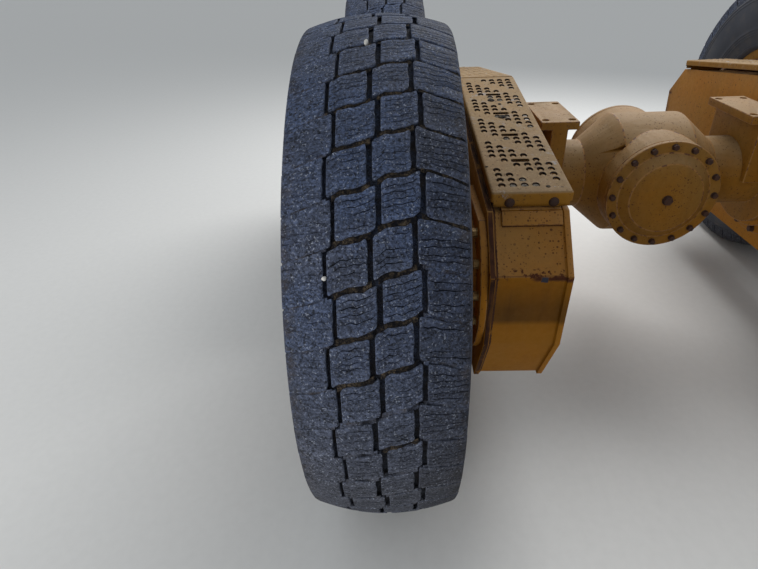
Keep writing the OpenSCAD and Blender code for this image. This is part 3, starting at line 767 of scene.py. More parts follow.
def block_margins(along, wall_start, mirror, shoulder):
    """Along a block: half its cross groove, what its corners and its rims take off, and its height."""
    half = np.full(len(along), cross_half(mirror, shoulder))
    cut = corner_cut(along)
    worn_off = np.where(along < ROUND / 2, RIM_DROP, 0)
    if shoulder:
        wall = np.clip((along - wall_start) / (along[-1] - wall_start), 0, 1)
        rise = GROOVE_DEEP * (1 - wall) ** 0.8 + 0.0005
        return half + wall * WALL_WIDENING, cut, worn_off, rise
    rest = along[-1] - along
    worn_off = worn_off + np.where(rest < ROUND / 2, RIM_DROP, 0)
    return half, cut + corner_cut(rest), worn_off, np.full(len(along), GROOVE_DEEP)


def rim_highlight_share(count, columns, shoulder):
    """Where a block gets its painted highlight along the edges: one on its outline and zero inside it. A
    shoulder's outer end has no rim.
    """
    rim = np.zeros((count, columns))
    rim[[0, -1]] = 1
    rim[:, 0] = 1
    if not shoulder:
        rim[:, -1] = 1
    return rim


def block(shape, row, path, mirror, shoulder, rng):
    """One block of tread along a path across the tyre. A shoulder block runs on down the wall."""
    path = np.array(path)
    y = path[:, 0] * mirror
    out = path[:, 2:] * [mirror, 1]
    out /= np.linalg.norm(out, axis=1)[:, None]
    along = np.concatenate([[0], np.cumsum(np.hypot(np.diff(path[:, 0]), np.diff(path[:, 1])))])
    length = along[-1]
    wall_start = length - WALL_REACH - SHOULDER_R
    outer = shoulder and mirror > 0
    half, cut, worn_off, rise = block_margins(along, wall_start, mirror, shoulder)
    line = cross(np.clip(y, -HALF_TREAD, HALF_TREAD))
    uneven = OUTER_UNEVEN if outer else UNEVEN
    low = row * PITCH + line + half + cut + waves(along / length, uneven, rng)
    high = (row + 1) * PITCH + line - half - cut + waves(along / length, uneven, rng)
    wear = rng.uniform(0, MOST_WEAR)
    lines = block_rows(rng)
    count = len(lines)
    columns = len(path)
    drift = waves(np.array([share for share, kind in lines]), DRIFT, rng)
    bow = (BOW if shoulder else 0.0) * (line - line.mean())
    points = np.zeros((count, columns, 3))
    deep = np.zeros((count, columns))
    for i, (share, kind) in enumerate(lines):
        zigzag, sunk, deep[i] = sipe_line(kind, along, 0.4 if outer else 1.0, shoulder, rng)
        t = low + share * (high - low) - 4 * share * (1 - share) * bow + zigzag
        sunk = wear + sunk + (RIM_DROP if i in (0, count - 1) else 0)
        sunk = np.minimum(sunk + worn_off, rise)
        r = path[:, 1] - out[:, 1] * sunk
        yy = y - out[:, 0] * sunk + mirror * drift[i] * np.exp(-along / DRIFT_FADES)
        points[i] = np.stack([r * np.sin(t / TYRE_R), yy, r * np.cos(t / TYRE_R)], axis=1)
    foot, sides = block_sides(points, out, rise)
    faces = net(count, columns) + sides
    if mirror < 0:
        faces = [face[::-1] for face in faces]
    still = np.zeros(len(foot))
    edge = np.exp(-((along - wall_start) / EDGE_SOIL_HALF) ** 2) * (EDGE_SOIL if shoulder else 0.0)
    # The inner shoulder's blocks take a darker tone as painted shade
    tone = rng.uniform(*(INNER_SHADE_TONES if shoulder and not outer else TONES))
    shape.add(np.concatenate([points.reshape(-1, 3), foot]), faces, 0,
              deep=np.concatenate([deep.ravel(), still + GROOVE_DARK]),
              soil=np.concatenate([np.tile(edge, count), still + 1]),
              rim=np.concatenate([rim_highlight_share(count, columns, shoulder).ravel(), still]),
              tone=np.full(count * columns + len(foot), tone))


def block_sides(points, out, rise):
    """The foot points under a block's outline and the faces of its sides down to them."""
    count, columns = points.shape[:2]
    loop = [(0, j) for j in range(columns)] + [(i, columns - 1) for i in range(1, count)]
    loop += [(count - 1, j) for j in range(columns - 2, -1, -1)] + [(i, 0) for i in range(count - 2, 0, -1)]
    foot = []
    for i, j in loop:
        radial = np.array([points[i, j][0], 0, points[i, j][2]])
        radial /= np.linalg.norm(radial)
        foot.append(points[i, j] - (radial * out[j, 1] + np.array([0, out[j, 0], 0])) * (rise[j] + 0.001))
    first = count * columns
    faces = []
    for n, (i, j) in enumerate(loop):
        after = (n + 1) % len(loop)
        next_i, next_j = loop[after]
        faces.append((i * columns + j, first + n, first + after, next_i * columns + next_j))
    return foot, faces


def carcass_profile():
    """The closed section under the blocks: tread floor, shoulders, ribbed walls, feet and the inside."""
    half = [(float(crown(y)) - GROOVE_DEEP, y) for y in np.linspace(0, 0.155, 5)]
    for y, r, out_y, out_r in shoulder_path()[-7:]:
        size = hypot(out_y, out_r)
        sink = GROOVE_DEEP * 0.75 * max(0.0, 1 - max(EDGE_R - r, 0) / WALL_REACH) ** 0.8
        half.append((r - out_r / size * sink, y - out_y / size * sink))

    def from_rib(r):
        return min(abs(r - rib) for rib in WALL_RIBS) / WALL_RIB_HALF

    radii = [rib + share * WALL_RIB_HALF for rib in WALL_RIBS for share in (-1, -0.4, 0.4, 1)]
    radii += [r for r in np.linspace(half[-1][0] - 0.006, 0.362, 17) if from_rib(r) > 1.3]
    for r in sorted(radii, reverse=True):
        half.append((r, wall_y(r) + WALL_RIB_H * max(0.0, 1 - from_rib(r) ** 2)))
    half += FOOT_AND_INSIDE
    return half + [(INSIDE_R, 0.0)] + [(r, -y) for r, y in half[:0:-1]]


def strip_depth(low, shoulder, brown, pocket):
    """How far under the tread the filling of a cross groove lies. It's shallow on the outer shoulder."""
    if not shoulder:
        return 0.0010 + 0.0036 * brown + 0.0050 * pocket * (1 - brown)
    return 0.0008 + 0.0022 * pocket if low > 0 else 0.0022 + 0.0030 * pocket


def soil_strips(shape, rng, brown_at):
    """What fills the cross grooves: soil where they lie open to it, rubber crumbs and grit elsewhere."""
    # Each column's span, how dark the painted shade in its strip may be and how often it is soil, from the inside
    # out
    columns = [
        (-0.168, -GROOVE_IN - 0.004, 0.35, 0.4), (-GROOVE_IN + 0.006, -0.006, 0.85, 1.3),
        (0.006, GROOVE_OUT - 0.006, 0.85, 1.3), (GROOVE_OUT + 0.004, 0.168, 0.15, 0.0),
    ]
    for row in range(ROWS):
        brown = min(1.0, max(0.0, 1.7 * cos(row * PITCH / TYRE_R - brown_at) - 0.7))
        for low, high, darkest, often in columns:
            shoulder = max(-low, high) > HALF_TREAD / 2
            half = cross_half(low, shoulder) + 0.002
            ys = np.linspace(low, high, 16)
            share = (ys - low) / (high - low)
            pocket = np.clip(1.3 - np.abs(share - rng.uniform(0.15, 0.85)) / rng.uniform(0.16, 0.3), 0, 1)
            depth = strip_depth(low, shoulder, brown, pocket)
            rough = np.array([[rng.uniform(-CRUMB, CRUMB) for y in ys] for k in range(4)])
            points = np.zeros((4, len(ys), 3))
            for i, offset in enumerate(np.linspace(-half, half, 4)):
                t = row * PITCH + cross(ys) + offset
                r = crown(ys) - depth + rough[i] - (STRIP_DIP if i in (1, 2) else 0)
                points[i] = np.stack([r * np.sin(t / TYRE_R), ys, r * np.cos(t / TYRE_R)], axis=1)
            # Painted shade in the strip's pockets and along its edges
            dark = pocket * darkest * (1 - 0.6 * brown)
            soiled = rng.random() < brown * often
            lines = np.maximum(dark, 0.12 + 0.5 * brown)
            shape.add(points, net(4, len(ys)), 2 if soiled else 0,
                      deep=np.concatenate([lines, dark, dark, lines]),
                      soil=np.full(4 * len(ys), 0.35 + 0.65 * brown))


def pebble(shape, y, t, size, rng):
    """A small stone caught in the tread at y and t, a little sunk into it."""
    made = bmesh.new()
    bmesh.ops.create_icosphere(made, subdivisions=2, radius=size / 2)
    squash = [rng.uniform(0.75, 1.1) for _ in range(3)]
    r = float(crown(y)) + 0.1 * size
    points = []
    for vertex in made.verts:
        dent = 1 + 0.12 * sin(9 * vertex.co.x / size + 5 * vertex.co.y / size + squash[0] * 40)
        points.append([vertex.co[i] * squash[i] * dent for i in range(3)])
    faces = [[vertex.index for vertex in face.verts] for face in made.faces]
    made.free()
    shape.add(np.array(points) + [r * sin(t / TYRE_R), y, r * cos(t / TYRE_R)], faces, 3)


def carcass(shape):
    """The rubber under the blocks: the tread's floor in tread rubber, and the walls in their own."""
    profile = carcass_profile()
    points, faces = revolve(profile, ROUND_STEPS)
    radius, width = np.abs(np.tile(np.array(profile).T, ROUND_STEPS))
    floor = (radius > TREAD_FLOOR_R) & (width < TREAD_FLOOR_HALF)
    shape.add(points, faces, 1, deep=np.where(floor, GROOVE_DARK, 0.0), soil=np.where(floor, 1.0, 0.0))
    shape.slots = [0 if floor[face[0]] else 1 for face in faces]


def tread(shape, rng):
    """All blocks, row by row. Each row's grooves lie a step to one side of the last one's."""
    for row in range(ROWS):
        shift = -STEP if row % 2 == 0 else STEP
        for low, high, mirror in [
            (GROOVE_HALF + shift, GROOVE_OUT - SIDE_GROOVE_HALF + shift, 1),
            (-GROOVE_IN + GROOVE_HALF + shift, -GROOVE_HALF + shift, 1),
            (GROOVE_OUT + SIDE_GROOVE_HALF + shift, None, 1),
            (GROOVE_IN + GROOVE_HALF - shift, None, -1),
        ]:
            path = edge_path(low) if high is None else column_path(low, high)
            block(shape, row, path, mirror, high is None, rng)


def tyre(name, sign, turn, seed, stones, brown_at):
    """One whole tyre, turned to its own first row."""
    rng = random.Random(seed)
    shape = Shape()
    carcass(shape)
    tread(shape, rng)
    soil_strips(shape, rng, brown_at)
    for y, t, size in stones:
        pebble(shape, y, t, size, rng)
    shape.place(matrix_at(wheel_centre(name), sign, turn))
    materials = [RUBBER, SIDEWALL, SOIL, STONE]
    piece = shape.piece(name + "_tyre_detail", name + "_wheel", materials, "tyre_rubber", 38)
    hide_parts(name + "_tyre")


# Pieces that keep a node's form, with rounded and worn edges

# Points closer than MERGE become one. Edges that bend by less than FLAT degrees go, and those that bend by
# more than SHARP are rounded
MERGE = 0.00003
FLAT = 0.5
SHARP = 28


def dressed(node, materials, width, bare=None):
    """A copy of a node with rounded edges in its second material. Faces that bare picks have its third."""
    mesh = frame["nodes"][node].data.copy()
    mesh.materials.clear()
    for material in materials:
        mesh.materials.append(material)
    made = bmesh.new()
    made.from_mesh(mesh)
    bmesh.ops.remove_doubles(made, verts=made.verts, dist=MERGE)
    bmesh.ops.dissolve_limit(made, angle_limit=radians(FLAT), verts=made.verts, edges=made.edges)
    for face in made.faces:
        face.smooth = True
        face.material_index = 2 if bare and bare(face) else 0
    made.to_mesh(mesh)
    made.free()
    rough = stand(node + "_rough", mesh)
    bevel = rough.modifiers.new("rounded", "BEVEL")
    bevel.width = width
    bevel.segments = 1 if node.endswith(("_rim", "_hub")) else 2
    bevel.limit_method = "ANGLE"
    bevel.angle_limit = radians(SHARP)
    bevel.use_clamp_overlap = False
    bevel.harden_normals = True
    bevel.material = 1
    done = applied(rough)
    bpy.data.objects.remove(rough)
    done.name = node + "_detail"
    obj = stand(node + "_detail", done)
    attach(obj, BODY_OF[node])
    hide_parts(node)


# Fasteners and welds

WASHER_H = 0.003
BEAD_STEP = 0.0055
# A weld bead's section, as shares of its size along its two arms
BEAD_SECTION = [(1, 0), (0.74, 0.36), (0.36, 0.74), (0, 1)]


def facing(place, out, turn=0.0):
    """A place whose Z axis points along out."""
    out = np.array(out, float)
    side = np.cross([0.0, 0.0, 1.0] if abs(out[2]) < 0.9 else [1.0, 0.0, 0.0], out)
    other = np.cross(out, side)
    c = cos(radians(turn))
    s = sin(radians(turn))
    matrix = np.eye(4)
    matrix[:3, 0] = side * c + other * s
    matrix[:3, 1] = other * c - side * s
    matrix[:3, 2] = out
    matrix[:3, 3] = place
    return matrix


def turned(shape, profile, matrix, steps, slot=0):
    """A round solid on a place: profile runs as (radius, height) from its foot to its top."""
    angles = np.arange(steps) * 2 * pi / steps
    rings = [[(r * cos(a), r * sin(a), h) for a in angles] for r, h in profile]
    points = np.array(rings).reshape(-1, 3) @ matrix[:3, :3].T + matrix[:3, 3]
    top = (len(profile) - 1) * steps
    shape.add(points, net(len(profile), steps, close_columns=True) + [tuple(range(top, top + steps))], slot)


def hex_bolt(shape, matrix, across, height, slot=0, washer=True):
    """A hexagon bolt head, on its washer if it has one."""
    foot = 0.0
    if washer:
        r = across * 0.62
        turned(shape, [(r, 0), (r, 0.0022), (r - 0.0006, WASHER_H)], matrix, 20, slot)
        foot = WASHER_H
    r = across / sqrt(3)
    turned(shape, [(r, foot), (r, foot + height * 0.88), (r * 0.86, foot + height)], matrix, 6, slot)


def bolt_circle(shape, centre, out, radius, count, across, height, first=0.0, top=1.0, slot=0):
    """Bolts round a centre, without those whose heads would reach over a flat top."""
    rng = random.Random(count * 1000 + int(radius * 1000))
    side = np.cross(out, [0, 0, 1.0])
    for i in range(count):
        angle = radians(first + i * 360 / count)
        if radius * sin(angle) > top - 0.7 * across:
            continue
        place = np.array(centre) + radius * (side * cos(angle) + np.array([0, 0, sin(angle)]))
        hex_bolt(shape, facing(place, out, rng.uniform(0, 60)), across, height, slot)


def weld(shape, path, arms, size, rng, slot=0):
    """A weld bead along a path, in the corner between two faces that leave it along the two arms."""
    path = [np.array(p, float) for p in path]
    first, second = [np.array(a, float) for a in arms]

    def ring(at, grow):
        return [at + (first * a + second * b) * grow for a, b in BEAD_SECTION]

    rings = []
    for a, b in zip(path[:-1], path[1:]):
        count = max(2, int(np.linalg.norm(b - a) / BEAD_STEP))
        for i in range(count):
            grow = size * (1.0 + (0.14 if i % 2 else -0.06) + rng.uniform(-0.07, 0.07))
            rings.append(ring(a + (b - a) * i / count, grow))
    rings.append(ring(path[-1], size))
    shape.add(np.array(rings), net(len(rings), 4), slot)


# What is welded and bolted to the tandem cases

# The sizes of the beads along the outer plates, the inner plates and the brackets' feet
OUTER_BEAD = 0.0062
INNER_BEAD = 0.0026
FOOT_BEAD = 0.0020
# The brackets' feet on the cases' sloping ends
FOOT_L = 0.038
FOOT_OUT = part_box("left_brackets")[1][1]
FOOT_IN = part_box("left_brackets")[0][1]
COVER_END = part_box("left_pivot_cover")[1][1]
# Faces that carry bolts: the pivot cover's flange, the pivot housing's and the spindles'
COVER_FACE = CASE_OUT + 0.0143
PIVOT_FACE = CASE_IN - 0.0203
FLANGE_FACE = CASE_OUT + 0.0203
# The flat on top of the spindles' flanges, over the axle
FLANGE_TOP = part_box("left_rear_spindle")[1][2] - AXLE_Z
# The radii of the circles that the bolts of the three lie on
COVER_BOLTS_R = 0.143
PIVOT_BOLTS_R = 0.254
FLANGE_BOLTS_R = 0.206
# Drain, level and filler plugs on the inner sides, as distances ahead of the pivot and over the axle,
# and their round heads as (radius, height)
PLUGS = [(-0.86, -0.25), (0.86, -0.25), (-0.30, -0.22), (0.30, -0.22), (-0.42, 0.12)]
PLUG_HEAD = [(0.026, 0), (0.026, 0.007), (0.024, 0.009)]


def inset_outline(points, distance):
    """A closed outline moved inward by a distance."""
    moved = []
    for i in range(len(points)):
        before = points[i] - points[i - 1]
        after = points[(i + 1) % len(points)] - points[i]
        n0 = np.array([-before[1], before[0]]) / np.linalg.norm(before)
        n1 = np.array([-after[1], after[0]]) / np.linalg.norm(after)
        moved.append(points[i] - distance * (n0 + n1) / (1 + n0 @ n1))
    return moved


def case_wrap():
    """(x, z) round the sheet between the left case's side plates, counterclockwise seen from outboard."""
    half = [(WHEEL_X + x, AXLE_Z + z) for x, z in (CASE_CORNER, CASE_CREASE, CASE_BEND, CASE_BOTTOM)]
    apex = (0.0, half[0][1] + half[0][0] * tan(TOP_SLOPE))
    return inset_outline(np.array([apex] + half + [(-x, z) for x, z in half[::-1]]), RIB)


def outer_edge(face):
    """Whether a face is the edge of the left or right case's outer side plate."""
    return abs(face.normal.y) < 0.3 and abs(face.calc_center_median().y) > CASE_OUT - SIDE_T * 1.02


def case_welds(side, sign):
    """Beads between the wrap and the two side plates, and round the brackets' feet."""
    rng = random.Random(31 if sign > 0 else 32)
    shape = Shape()
    wrap = case_wrap()
    for i, a in enumerate(wrap):
        b = wrap[(i + 1) % len(wrap)]
        along = (b - a) / np.linalg.norm(b - a)
        up = (-along[1], 0, along[0])
        outer, inner = [[(a[0], y, a[1]), (b[0], y, b[1])] for y in (CASE_OUT - SIDE_T, CASE_IN + SIDE_T)]
        weld(shape, outer, [(0, -1, 0), up], OUTER_BEAD, rng, 1)
        weld(shape, inner, [(0, 1, 0), up], INNER_BEAD, rng)
    foot_welds(shape, rng)
    shape.place(matrix_at((0, 0, 0), sign))
    shape.piece(side + "_case_welds", side + "_tandem", [CASE, RUST_EDGE], "case_paint", 50)


def foot_welds(shape, rng):
    """Thin beads along the lower end and both sides of each bracket's foot."""
    down = np.subtract(CASE_CREASE, CASE_CORNER)
    down /= np.linalg.norm(down)
    out = np.array([-down[1], down[0]])
    foot = np.add((WHEEL_X, AXLE_Z), CASE_CORNER) + down * FOOT_L - out * RIB
    top = foot - down * FOOT_L * 0.9
    for way in (-1, 1):
        outward = (way * out[0], 0, out[1])
        path = [(way * foot[0], y, foot[1]) for y in (FOOT_IN, FOOT_OUT)]
        weld(shape, path, [(way * down[0], 0, down[1]), outward], FOOT_BEAD, rng, 1)
        for y, side in [(FOOT_IN, -1), (FOOT_OUT, 1)]:
            path = [(way * foot[0], y, foot[1]), (way * top[0], y, top[1])]
            weld(shape, path, [(0, side, 0), outward], FOOT_BEAD, rng)


def case_fittings(side, sign):
    """Plugs and the bolts of the pivot's cover and housing."""
    shape = Shape()
    bolt_circle(shape, (0, COVER_FACE, AXLE_Z), (0, 1, 0), COVER_BOLTS_R, 12, 0.019, 0.010, slot=1)
    hex_bolt(shape, facing((0, COVER_END, AXLE_Z), (0, 1, 0)), 0.030, 0.012, slot=1)
    pivot = (0, PIVOT_FACE, AXLE_Z)
    bolt_circle(shape, pivot, (0, -1, 0), PIVOT_BOLTS_R, 16, 0.024, 0.014, first=11.25, slot=1)
    for x, z in PLUGS:
        turned(shape, PLUG_HEAD, facing((x, CASE_IN, AXLE_Z + z), (0, -1, 0)), 28)
        seat = facing((x, CASE_IN - PLUG_HEAD[-1][1], AXLE_Z + z), (0, -1, 0))
        hex_bolt(shape, seat, 0.027, 0.011, slot=1, washer=False)
    shape.place(matrix_at((0, 0, 0), sign))
    shape.piece(side + "_case_fittings", side + "_tandem", [CASE, RUSTY], "bare_steel", 30)


def flange_bolts(side, sign):
    """The bolts of the spindles' flanges, up to the flat on top."""
    shape = Shape()
    for way in (-1, 1):
        centre = (way * WHEEL_X, FLANGE_FACE, AXLE_Z)
        bolt_circle(shape, centre, (0, 1, 0), FLANGE_BOLTS_R, 15, 0.022, 0.012, first=5.8, top=FLANGE_TOP)
    shape.place(matrix_at((0, 0, 0), sign))
    shape.piece(side + "_flange_bolts", side + "_tandem", [PALE], "bare_steel", 30)


# Platforms

DECK_LOW, DECK_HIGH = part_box("left_rear_platform")
DECK_OUT = DECK_HIGH[1]
DECK_WIDTH = DECK_HIGH[1] - DECK_LOW[1]
FOLD_GAP = 0.006
DECK_TOP = DECK_HIGH[2] + FOLD_GAP * sin(TOP_SLOPE)
DECK_LENGTH = -DECK_LOW[0] / cos(TOP_SLOPE) - FOLD_GAP
SHEET = 0.005
SEAM = 0.00005
BEND = 0.007
END_LIP = 0.040
SIDE_LIP = 0.025
CORNER_LIP = 0.027
LIP_CORNER = 0.012
# The grip holes lie in rows along the panel and columns across it, in a pattern that repeats every six rows.
# Each has a cell of its own, cut in 5 by 5
COLUMNS = 6
DECK_ROWS = 29
PATTERN = 6
HOLE_DX = 0.0286
HOLE_DY = 0.0294
FIRST_ROW = 0.0436
HOLE_R = 0.0096
CELL = 5
# Each hole's far rim is pressed up, and a tongue with a round tip reaches into it from the other side
RAISED = 0.0030
RIM_WIDTH = 0.0030
TONGUE_HALF = 0.0045
TONGUE_ROOT = 0.0057
TONGUE_TIP = 0.0032
SLOT_HALF_L = 0.025
SLOT_HALF_W = 0.0085
SLOT_CORNER = 0.004
# Lip bolts: their distance from the panel's sides and their height, and their heads as (radius, height)
LIP_BOLT_Y = 0.048
LIP_BOLT_Z = -0.0280
LIP_BOLT = [(0.0135, 0), (0.0132, 0.0015), (0.0115, 0.0038), (0.008, 0.0055), (0.003, 0.0062)]
# Grip holes that dirt fills on the left rear panel, as row and column, and the lumps of dirt on it
CLOGGED = [(28, 1), (28, 2), (28, 3), (27, 2), (18, 2), (15, 5), (12, 2), (12, 3), (7, 3), (6, 2)]
LUMPS = [(12.1, 2.5, 0.015), (6.9, 2.0, 0.014), (8.2, 2.8, 0.007), (28.3, 4.0, 0.006), (24.2, -0.8, 0.005)]


def has_hole(row, column):
    """Whether a cell has a grip hole. Each column leaves out two rows in six, one row on from the last."""
    return (row + 11 - column) % PATTERN < 4


def has_slot(row):
    """Whether a row has a slot, over its two middle columns."""
    return (row + 1) % PATTERN == 0


def column_y(column):
    return -DECK_WIDTH / 2 + (COLUMNS - 1 - 2 * column) * HOLE_DY / 2


def hole_place(row, column):
    return np.array([FIRST_ROW + row * HOLE_DX, column_y(column), 0])


def square_ring(half_x, half_y, nx, ny):
    """Points round a rectangle, each at height 0: along its +y side first, then on towards its -x side."""
    xs = np.linspace(half_x, -half_x, nx + 1)
    ys = np.linspace(half_y, -half_y, ny + 1)
    ring = [(x, half_y, 0) for x in xs[:-1]] + [(-half_x, y, 0) for y in ys[:-1]]
    return np.array(ring + [(-x, -y, 0) for x, y, z in ring])


def grip_rings():
    """Rings from a grip hole's edge out to its cell, as (x, y, height). The fold side is pressed up."""
    tip = asin(TONGUE_ROOT / HOLE_R)
    outer = np.linspace(tip, 2 * pi - tip, 3 * CELL - 1)
    neck = np.linspace(-tip, tip, CELL + 3)[1:-1]
    angles = np.concatenate([neck[-1:], outer, neck[:-1]])
    lift = RAISED * np.clip(-np.cos(angles) + 0.2, 0, 1) ** 0.8
    rings = []
    for r, share in [(HOLE_R, 1.0), (HOLE_R + RIM_WIDTH, 0.42)]:
        rings.append(np.stack([r * np.cos(angles), r * np.sin(angles), share * lift], axis=1))
    return np.array(rings + [square_ring(HOLE_DX / 2, HOLE_DY / 2, CELL, CELL)])


def tongue(first):
    """A grip hole's tongue: its points, numbered from first, and its faces. The edge counts from 0."""
    points = [(TONGUE_TIP + TONGUE_HALF * cos(a), TONGUE_HALF * sin(a), 0.0008 * min(0, cos(a)))
              for a in np.linspace(1.5 * pi, 0.5 * pi, CELL + 1)]
    neck = [3 * CELL + k for k in range(CELL)] + [0]
    faces = [(neck[0] - 1, neck[0], first), (1, first + CELL, neck[-1])]
    faces += [(first + k, neck[k], neck[k + 1], first + k + 1) for k in range(CELL)]
    return points, faces


def slot_rings():
    """Rings from a long slot's edge out to its two cells, as the grip hole's."""
    square = square_ring(HOLE_DX / 2, HOLE_DY, CELL, 2 * CELL)
    inner = square[:, :2] * [SLOT_HALF_W / (HOLE_DX / 2), SLOT_HALF_L / HOLE_DY]
    reach = np.array([SLOT_HALF_W, SLOT_HALF_L]) - SLOT_CORNER
    core = np.clip(inner, -reach, reach)
    out = (inner - core) / np.linalg.norm(inner - core, axis=1)[:, None]
    rings = [np.column_stack([core + out * (SLOT_CORNER + away), np.full(len(square), low)])
             for away, low in [(0, -0.0008), (0.0014, 0)]]
    return np.array(rings + [square])


def deck_lines():
    """Lines along and across the sheet's flat part, with each cell's lines among them."""
    start = FIRST_ROW - HOLE_DX / 2
    side = column_y(COLUMNS - 1) - HOLE_DY / 2
    xs = [BEND, (BEND + start) / 2] + [start + i * HOLE_DX / CELL for i in range(DECK_ROWS * CELL + 1)]
    ys = [-DECK_WIDTH + BEND] + [side + i * HOLE_DY / CELL for i in range(COLUMNS * CELL + 1)]
    return np.array(xs + [DECK_LENGTH - BEND]), np.array(ys + [-BEND])


def open_cells():
    """Each opening's row, first column and number of columns."""
    cells = []
    for row in range(DECK_ROWS):
        if has_slot(row):
            cells.append((row, 2, 2))
        for column in range(COLUMNS):
            if has_hole(row, column) and not (has_slot(row) and column in (2, 3)):
                cells.append((row, column, 1))
    return cells


def deck_sheet():
    """The outer surface of a panel in its own frame: x from the fold, y from its outer edge, z up."""
    shape = Shape()
    xs, ys = deck_lines()
    taken = set()
    grip = grip_rings()
    slot = slot_rings()
    for row, column, width in open_cells():
        centre = (hole_place(row, column) + hole_place(row, column + width - 1)) / 2
        rings = (grip if width == 1 else slot) + centre
        points = rings.reshape(-1, 3)
        faces = [f[::-1] for f in net(len(rings), rings.shape[1], close_columns=True)]
        if width == 1:
            inside, patch = tongue(len(points))
            points = np.concatenate([points, np.array(inside) + centre])
            faces += patch
        shape.add(points, faces)
        taken.update((row, column + k) for k in range(width))
    across = len(ys) - 1
    faces = []
    for n, face in enumerate(net(len(xs), len(ys))):
        i, j = divmod(n, across)
        cell = ((i - 2) // CELL, COLUMNS - 1 - (j - 1) // CELL)
        if cell not in taken or i < 2 or j < 1 or j >= 1 + COLUMNS * CELL:
            faces.append(face)
    shape.add([(x, y, 0.0) for x in xs for y in ys], faces)
    lips(shape, xs, ys)
    return shape


def lips(shape, xs, ys):
    """The bends and turned-down lips round the sheet, with rounded corners."""
    arc = np.radians([0, 22.5, 45, 67.5, 90])
    edge = []
    for points, (dx, dy), depth in [
        ([(xs[-1], y) for y in ys], (1, 0), END_LIP), ([(x, ys[-1]) for x in xs[::-1]], (0, 1), SIDE_LIP),
        ([(xs[0], y) for y in ys[::-1]], (-1, 0), END_LIP), ([(x, ys[0]) for x in xs], (0, -1), SIDE_LIP),
    ]:
        edge += [(x, y, dx, dy, depth) for x, y in points]
        x, y = points[-1]
        edge += [(x, y, dx * cos(a) - dy * sin(a), dy * cos(a) + dx * sin(a), CORNER_LIP) for a in arc]
    rings = []
    for a in arc:
        rings.append([(x + dx * BEND * sin(a), y + dy * BEND * sin(a), -BEND * (1 - cos(a)))
                      for x, y, dx, dy, depth in edge])
    for share in (0.35, 0.7, 1.0):
        ring = []
        for x, y, dx, dy, depth in edge:
            if dy == 0:
                left = max(0.0, LIP_CORNER - min(y - ys[0], ys[-1] - y) - BEND)
                depth -= LIP_CORNER - sqrt(LIP_CORNER ** 2 - left ** 2)
            ring.append((x + dx * BEND, y + dy * BEND, -BEND - share * (depth - BEND)))
        rings.append(ring)
    shape.add(np.array(rings), [f[::-1] for f in net(len(rings), len(edge), close_columns=True)])


def deck_matrix(sign, way):
    """From a panel's own frame to the row frame. The rear panel is the front one's mirror image."""
    c = cos(TOP_SLOPE)
    s = sin(TOP_SLOPE)
    slope = np.eye(4)
    slope[:3, :3] = [[c, 0, s], [0, 1, 0], [-s, 0, c]]
    slope[:3, 3] = [FOLD_GAP * c, DECK_OUT, DECK_TOP - FOLD_GAP * s]
    return np.diag([way, sign, 1.0, 1.0]) @ slope


def panel(name, sign, way):
    """The pressed sheet of one platform."""
    shape = deck_sheet()
    shape.place(deck_matrix(sign, way))
    body = BODY_OF[name + "_platform"]
    rough = shape.piece(name + "_platform_detail", body, [DECK, CUT_EDGE_SHADE], "platform_paint", 40)
    made = bmesh.new()
    made.from_mesh(rough.data)
    bmesh.ops.remove_doubles(made, verts=made.verts, dist=SEAM)
    bmesh.ops.recalc_face_normals(made, faces=made.faces)
    if sum(face.normal.z * face.calc_area() for face in made.faces) < 0:
        bmesh.ops.reverse_faces(made, faces=made.faces)
    made.to_mesh(rough.data)
    made.free()
    solid = rough.modifiers.new("sheet", "SOLIDIFY")
    solid.thickness = SHEET
    solid.offset = -1
    solid.use_even_offset = False
    # The sheet's cut edges and the grip holes' walls take the rusty material darkened with painted shade
    solid.material_offset_rim = 1
    done = applied(rough)
    rough.modifiers.clear()
    rough.data = done
    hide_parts(name + "_platform")


def clogs(name, sign, way, seed):
    """Dirt in some of a panel's grip holes and lumps of it on top, at chosen places on the left rear one."""
    rng = random.Random(seed)
    filled = CLOGGED
    lumps = LUMPS
    if name != "left_rear":
        filled = rng.sample([(row, column) for row, column, width in open_cells() if width == 1], 10)
        lumps = [(rng.uniform(1, 27), rng.uniform(0, 5), rng.uniform(0.004, 0.01))]
    shape = Shape()
    for row, column in filled:
        place = np.eye(4)
        place[:3, 3] = hole_place(row, column)
        height = rng.uniform(0.0, 0.0010)
        profile = [(HOLE_R - 0.0002, -0.0022), (HOLE_R * 0.7, height - 0.0004), (HOLE_R * 0.3, height)]
        turned(shape, profile, place, 14, 1)
    for row, column, r in lumps:
        place = np.diag([rng.uniform(0.8, 1.2), rng.uniform(0.8, 1.2), 1.0, 1.0])
        place[:3, 3] = hole_place(row, column)
        profile = [(r, -0.001), (r * 0.8, r * 0.15), (r * 0.4, r * 0.25), (r * 0.1, r * 0.25)]
        turned(shape, profile, place, 14)
    shape.place(deck_matrix(sign, way))
    shape.piece(name + "_platform_dirt", BODY_OF[name + "_platform"], [SOIL, DRY_DIRT], "platform_paint", 60)


def lip_bolts(name, sign, way):
    """Round-headed bolts through a panel's end lips."""
    bolts = Shape()
    for y in (-LIP_BOLT_Y, -DECK_WIDTH + LIP_BOLT_Y):
        for x, out in [(DECK_LENGTH, 1), (0.0, -1)]:
            turned(bolts, LIP_BOLT, facing((x, y, LIP_BOLT_Z), (out, 0, 0)), 22)
    bolts.place(deck_matrix(sign, way))
    bolts.piece(name + "_platform_bolts", BODY_OF[name + "_platform"], [RUSTY], "bare_steel", 40)


# Wheels: rims, lock rings, hubs and spindles, with what is bolted and welded to them

